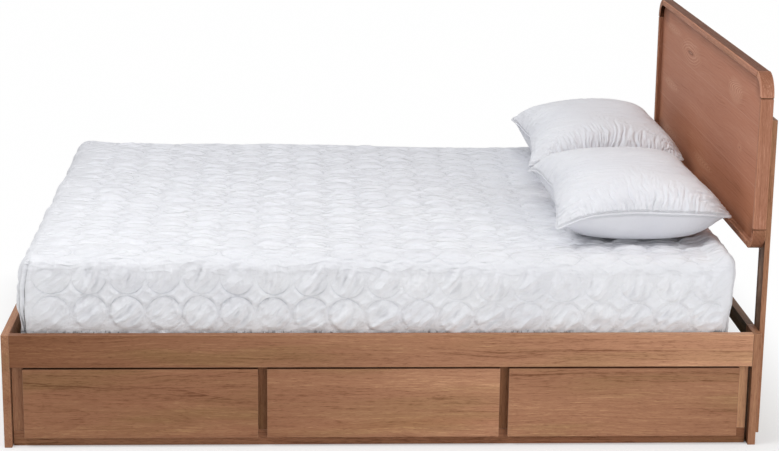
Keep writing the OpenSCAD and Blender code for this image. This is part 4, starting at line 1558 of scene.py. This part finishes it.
class BED_OT_pillows(bpy.types.Operator):
    """Makes the two pillows: cases blown up as cloth, gathered on top, plain underneath, with a piped seam"""

    bl_idname = "bed.pillows"
    bl_label = "Pillows"

    def execute(self, context):
        s = context.scene.bed_pillows
        ruching, piping = self.ruching(), piping_tree()
        for seed, (node, tips) in enumerate(PILLOW_TIPS.items()):
            case = self.case(node, s)
            self.blow_up(context.scene, case, s)
            self.plump(case)
            self.lay_down(case, node, tips, s, seed)
            smooth = case.modifiers.new("Smooth", "SUBSURF")
            smooth.levels = smooth.render_levels = 2
            run_tree(
                case,
                ruching,
                Gathers=s.gathers,
                Width=s.flat_width,
                Length=s.flat_length,
                Seed=seed * 9 + 2,
                Surface=finish("pillow_cotton"),
            )
            shade_smooth(case.data)
            take_place(case, node)
            seam = self.seam_line(case, node + "_piping")
            run_tree(seam, piping, Radius=s.piping, Surface=finish("pillow_cotton"))
            shade_smooth(seam.data)
            keep_vectors(seam.data, "cloth", spots(seam.data))
            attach(seam, node)
        return {"FINISHED"}

    def case(self, node, s):
        """Two flat panels sewn together round the edge, a little apart in the middle."""
        nu, nv = int(s.flat_width / s.cell), int(s.flat_length / s.cell)
        u, v = np.meshgrid(np.linspace(-0.5, 0.5, nu + 1), np.linspace(-0.5, 0.5, nv + 1), indexing="ij")
        lift = 0.035 * (1 - (2 * u) ** 4) * (1 - (2 * v) ** 4)
        ids = np.arange(u.size).reshape(u.shape)
        inner = (abs(u) < 0.4999) & (abs(v) < 0.4999)
        under = ids.copy()
        under[inner] = u.size + np.arange(inner.sum())
        flat = np.stack([u * s.flat_width, v * s.flat_length, lift], -1)
        upper, lower = flat.reshape(-1, 3), flat[inner] * [1, 1, -1]
        points = np.concatenate([upper, lower])
        faces = grid_faces(ids) + [face[::-1] for face in grid_faces(under)]
        mesh = mesh_from(node + "_case", points, faces)
        side = np.concatenate([inner.ravel().astype(float), -np.ones(inner.sum())])
        keep_vectors(mesh, "cloth", np.stack([points[:, 0], points[:, 1], side], 1))
        keep_numbers(mesh, "hem", np.concatenate([(~inner).ravel().astype(float), np.zeros(inner.sum())]))
        return new_piece(node + "_case", mesh)

    def blow_up(self, scene, case, s):
        """Fills the case: cloth with pressure inside and no gravity, frame by frame, kept as the mesh."""
        case.modifiers.new("Cloth", "CLOTH")
        cloth = case.modifiers["Cloth"]
        for name, value in CASE_CLOTH.items():
            setattr(cloth.settings, name, value)
        cloth.settings.uniform_pressure_force = s.pressure
        cloth.settings.effector_weights.gravity = 0
        cloth.collision_settings.use_collision = False
        cloth.point_cache.frame_start, cloth.point_cache.frame_end = 1, s.frames
        for number in range(1, s.frames + 1):
            scene.frame_set(number)
        settle(case)
        scene.frame_set(1)

    def plump(self, case, rounds=45):
        """Shakes the dents out of the filled case: panels and seam are each smoothed, the four tips stay."""
        points, hem = spots(case.data), read_numbers(case.data, "hem")
        u, v, _ = abs(read_vectors(case.data, "cloth")).T
        tip = (u > u.max() - 1e-4) & (v > v.max() - 1e-4)
        pairs = edge_pairs(case.data)
        pairs = np.concatenate([pairs, pairs[:, ::-1]])
        pairs = pairs[~((hem[pairs[:, 0]] > 0.5) & (hem[pairs[:, 1]] < 0.5)) & ~tip[pairs[:, 0]]]
        count = np.maximum(np.bincount(pairs[:, 0], minlength=len(points)), 1)[:, None]
        for _ in range(rounds):
            total = np.zeros_like(points)
            np.add.at(total, pairs[:, 0], points[pairs[:, 1]] - points[pairs[:, 0]])
            points += 0.5 * total / count
        case.data.vertices.foreach_set("co", points.ravel())

    def lay_down(self, case, node, tips, s, seed):
        """Fits the filled case to its place, flattens it on the cover and lets its corners droop."""
        lo, hi = corners(node)
        middle, size = (lo + hi) / 2, hi - lo
        points, flat = spots(case.data), read_vectors(case.data, "cloth")
        span = points.max(0) - points.min(0)
        points = (points - (points.max(0) + points.min(0)) / 2) / span
        x, y, z = points.T
        z = z / abs(z).max()
        across, along = flat[:, 0] / s.flat_width * 2, flat[:, 1] / s.flat_length * 2
        on_end, on_side = abs(abs(along) - 1) < 1e-4, abs(abs(across) - 1) < 1e-4
        x = x * self.straighten(along, x, on_side, 0.55)
        y = y * self.straighten(across, y, on_end, 0.45)
        seam, crown = s.seam_height, hi[2] - lo[2] - s.seam_height
        # below the seam the case bulges down until the cover holds it flat
        deep = abs(z) * seam * 1.65
        flat_z = -((np.maximum(deep, 1e-6) ** -7 + seam**-7) ** (-1 / 7))
        rise = crown + PILLOW_RISE[node] * (1 + across)
        height = np.where(z < 0, flat_z, np.maximum(z, 0) ** 0.86 * rise)
        out = np.stack([middle[0] + x * size[0], middle[1] + y * size[1], lo[2] + seam + height], 1)
        out[:, 2] += np.where(z > 0, z, 0) * 0.004 * waves(out[:, 0], out[:, 1], 3 + seed, 0.25)
        out[:, 0] -= PILLOW_HOLLOW[node] * (1 - along**2) * (0.7 + 0.5 * along) * np.clip(across, 0, 1) ** 2
        half = np.array([s.flat_width, s.flat_length]) / 2
        for (sx, sy), target in tips.items():
            away = np.linalg.norm(flat[:, :2] - np.array([sx, sy]) * half, axis=1) / 0.075
            corner = np.argmin(away)
            out += (np.array(target) - out[corner]) * np.exp(-(away**1.5))[:, None]
        out[:, 2] = np.maximum(out[:, 2], lo[2] + 0.0005)
        case.data.vertices.foreach_set("co", out.ravel())
        case.data.update()

    def straighten(self, along, value, hem, share):
        """How much to widen each row of the case, so that its hollow edges come part of the way back out."""
        rows = np.round(along[hem], 4)
        keys, index = np.unique(rows, return_inverse=True)
        reach = np.bincount(index, abs(value[hem])) / np.bincount(index)
        return (0.5 / np.interp(along, keys, reach)) ** share

    def ruching(self):
        """Gathers the top of a case: creases that leave the seams squarely and run together in the middle."""
        tree, t, take, end = modifier_tree(
            "Ruching",
            [
                ("Gathers", "Float", 0.004),
                ("Width", "Float", 0.5),
                ("Length", "Float", 0.7),
                ("Seed", "Int", 1),
                ("Surface", "Material", None),
            ],
        )
        u, v, side = t.xyz(t.stored("cloth", "FLOAT_VECTOR"))
        to_end = take["Length"] / 2 - abs(v)
        to_side = take["Width"] / 2 - abs(u)
        warp = t.noises(t.vector(u * 7.0, v * 7.0, take["Seed"] * 3.1), 1.0, 2.0)
        wu, wv = u + (warp[0] - 0.5) * 0.05, v + (warp[1] - 0.5) * 0.05
        square = t.noise(t.vector(wu / 0.0125, v / 0.11, take["Seed"] * 1.7), 1.0, 2.0, 0.5)
        level = t.noise(t.vector(u / 0.11, wv / 0.0150, take["Seed"] * 2.9), 1.0, 2.0, 0.5)
        share = (to_side - to_end + (warp[2] - 0.5) * 0.12).smooth(-0.03, 0.10)
        crease = square * share + level * (1 - share)
        ridge = 1 - abs(crease - 0.5) * 5.0
        near_seam = t.math("MINIMUM", to_end, to_side)
        fade = near_seam.smooth(0.0, 0.010)
        strong = near_seam.smooth(0.20, 0.015, 0.6, 1.9)
        lift = take["Gathers"] * ridge.clip(-0.6, 1.0) * fade * strong * side.smooth(0.0, 0.5)
        close_tree(t, end, t.raise_surface(take["Geometry"], lift), take["Surface"])
        return tree

    def seam_line(self, case, name):
        """The edges of a case that lie in its seam, as a mesh of their own."""
        pairs = edge_pairs(case.data)
        pairs = pairs[(read_numbers(case.data, "hem")[pairs] > 0.99).all(1)]
        used, index = np.unique(pairs, return_inverse=True)
        return new_piece(name, mesh_from(name, spots(case.data)[used], [], index.reshape(-1, 2)))


# how far the floor reaches from the middle
FLOOR_REACH = 14.0

# each lamp: size, place and what it looks at; the setting of the same name is its power
LAMPS = {
    "key": (2.2, (-2.2, -1.6, 3.7), (0.1, -0.2, 0.4)),
    "fill": (3.0, (3.2, -4.5, 2.1), (0.3, 0, 0.3)),
    "top": (4.0, (0.0, 0.2, 4.2), (0, 0, 0.4)),
}

# where the camera stands, and its yaw, pitch and roll
CAMERA_PLACE = (-0.25218, -6.06781, 1.99702)
CAMERA_TURN = (0.0484, 0.2505, -0.0131)


def sees_white(t):
    """1 for the camera's own rays and for those that come through glass or off metal."""
    path = t.node("ShaderNodeLightPath")
    kinds = ("Camera", "Transmission", "Glossy")
    camera, through, off = (Signal(t, path.outputs[f"Is {kind} Ray"]) for kind in kinds)
    return t.math("MAXIMUM", t.math("MAXIMUM", camera, through), off)


class BED_OT_studio(bpy.types.Operator):
    """Makes the floor, the lamps, the pale room and the camera"""

    bl_idname = "bed.studio"
    bl_label = "Studio"

    def execute(self, context):
        scene, s = context.scene, context.scene.bed_studio
        sheet = [(x * FLOOR_REACH, y * FLOOR_REACH, 0) for x, y in ((-1, -1), (1, -1), (1, 1), (-1, 1))]
        floor = new_piece("floor", mesh_from("floor", sheet, [(0, 1, 2, 3)]))
        floor.data.materials.append(self.paper())
        self.room(scene, s.room)
        for name, (size, place, target) in LAMPS.items():
            self.lamp(name + "_lamp", getattr(s, name), size, place, target)
        self.camera(scene, s.lens)
        scene.view_settings.view_transform = "Standard"
        return {"FINISHED"}

    def paper(self):
        """White paper floor: it keeps the shadow close to the bed, and the camera sees the rest white."""
        white = (0.96, 0.96, 0.96, 1)
        material, t, shader = blank("paper_floor", Roughness=0.95, Specular_IOR_Level=0.1, Base_Color=white)
        glow = t.node("ShaderNodeEmission", {"Color": (1, 1, 1, 1), "Strength": 1.0})
        x, y, _ = t.xyz(t.place())
        # the shadow fades out over the first 0.35 m round the bed
        out_x, out_y = (abs(x) - CAD_BOX[1][0]).clip(0, 9), (abs(y) - CAD_BOX[1][1]).clip(0, 9)
        clear = t.math("SQRT", out_x * out_x + out_y * out_y).smooth(0.0, 0.35, 0.46, 0.995)
        # nothing glows underneath the bed
        under = t.math("MINIMUM", -abs(x) + CAD_BOX[1][0], -abs(y) + CAD_BOX[1][1])
        clear = clear * under.smooth(0.035, 0.0)
        mix = t.node("ShaderNodeMixShader", {0: sees_white(t) * clear})
        t.put(mix.inputs[1], shader.outputs[0])
        t.put(mix.inputs[2], glow.outputs[0])
        out = next(n for n in t.tree.nodes if n.type == "OUTPUT_MATERIAL")
        t.put(out.inputs["Surface"], mix.outputs[0])
        return material

    def room(self, scene, strength):
        """Even light from all round, behind which the camera sees white."""
        world = bpy.data.worlds.new("pale_room")
        world.use_nodes = True
        scene.world = world
        t = Bench(world.node_tree)
        light = world.node_tree.nodes["Background"]
        light.inputs["Color"].default_value = (1, 1, 1, 1)
        t.put(light.inputs["Strength"], sees_white(t) * (1 - strength) + strength)

    def lamp(self, name, power, size, place, target):
        """A square soft lamp that looks at its target."""
        data = bpy.data.lights.new(name, "AREA")
        data.shape, data.size, data.energy = "SQUARE", size, power
        lamp = bpy.data.objects.new(name, data)
        bpy.context.scene.collection.objects.link(lamp)
        lamp.location = place
        lamp.rotation_euler = (Vector(target) - Vector(place)).to_track_quat("-Z", "Y").to_euler()

    def camera(self, scene, lens):
        """A camera that is turned by yaw and pitch and then rolled about its own axis."""
        data = bpy.data.cameras.new("camera")
        data.sensor_width, data.lens = 36.0, lens
        data.clip_start, data.clip_end = 0.1, 60
        camera = bpy.data.objects.new("camera", data)
        scene.collection.objects.link(camera)
        yaw, pitch, roll = CAMERA_TURN
        ahead = Vector((math.sin(yaw) * math.cos(pitch), math.cos(yaw) * math.cos(pitch), -math.sin(pitch)))
        right = Vector((math.cos(yaw), -math.sin(yaw), 0))
        down = ahead.cross(right)
        side = math.cos(roll) * right + math.sin(roll) * down
        below = -math.sin(roll) * right + math.cos(roll) * down
        turn = Matrix((side, -below, -ahead)).transposed().to_4x4()
        turn.translation = Vector(CAMERA_PLACE)
        camera.matrix_world = turn
        scene.camera = camera


class BED_PT_workshop(bpy.types.Panel):
    """Lists the pieces of the bed in the order in which they are made"""

    bl_idname = "BED_PT_workshop"
    bl_label = "Storage bed"
    bl_space_type = "VIEW_3D"
    bl_region_type = "UI"
    bl_category = "Storage bed"

    def draw(self, context):
        for name in SETTINGS:
            box = self.layout.box()
            settings = getattr(context.scene, name)
            box.label(text=name.replace("_", " ").capitalize())
            for key in settings.bl_rna.properties.keys():
                if key not in ("rna_type", "name"):
                    box.prop(settings, key)
        for operator in STEPS:
            self.layout.operator(operator.bl_idname)


SETTINGS = {
    "bed_timber": BedTimber,
    "bed_cover": BedCover,
    "bed_pillows": BedPillows,
    "bed_studio": BedStudio,
}
STEPS = [
    BED_OT_studio,
    BED_OT_platform,
    BED_OT_slats,
    BED_OT_fasteners,
    BED_OT_steel,
    BED_OT_headboard,
    BED_OT_drawers,
    BED_OT_mattress,
    BED_OT_cover,
    BED_OT_pillows,
]
CLASSES = [*SETTINGS.values(), *STEPS, BED_PT_workshop]


def register():
    for item in CLASSES:
        bpy.utils.register_class(item)
    for name, group in SETTINGS.items():
        setattr(bpy.types.Scene, name, PointerProperty(type=group))


def unregister():
    for name in SETTINGS:
        delattr(bpy.types.Scene, name)
    for item in reversed(CLASSES):
        bpy.utils.unregister_class(item)


def main():
    """Makes every piece in order."""
    register()
    for operator in STEPS:
        group, name = operator.bl_idname.split(".")
        getattr(getattr(bpy.ops, group), name)()


if __name__ == "__main__":
    main()
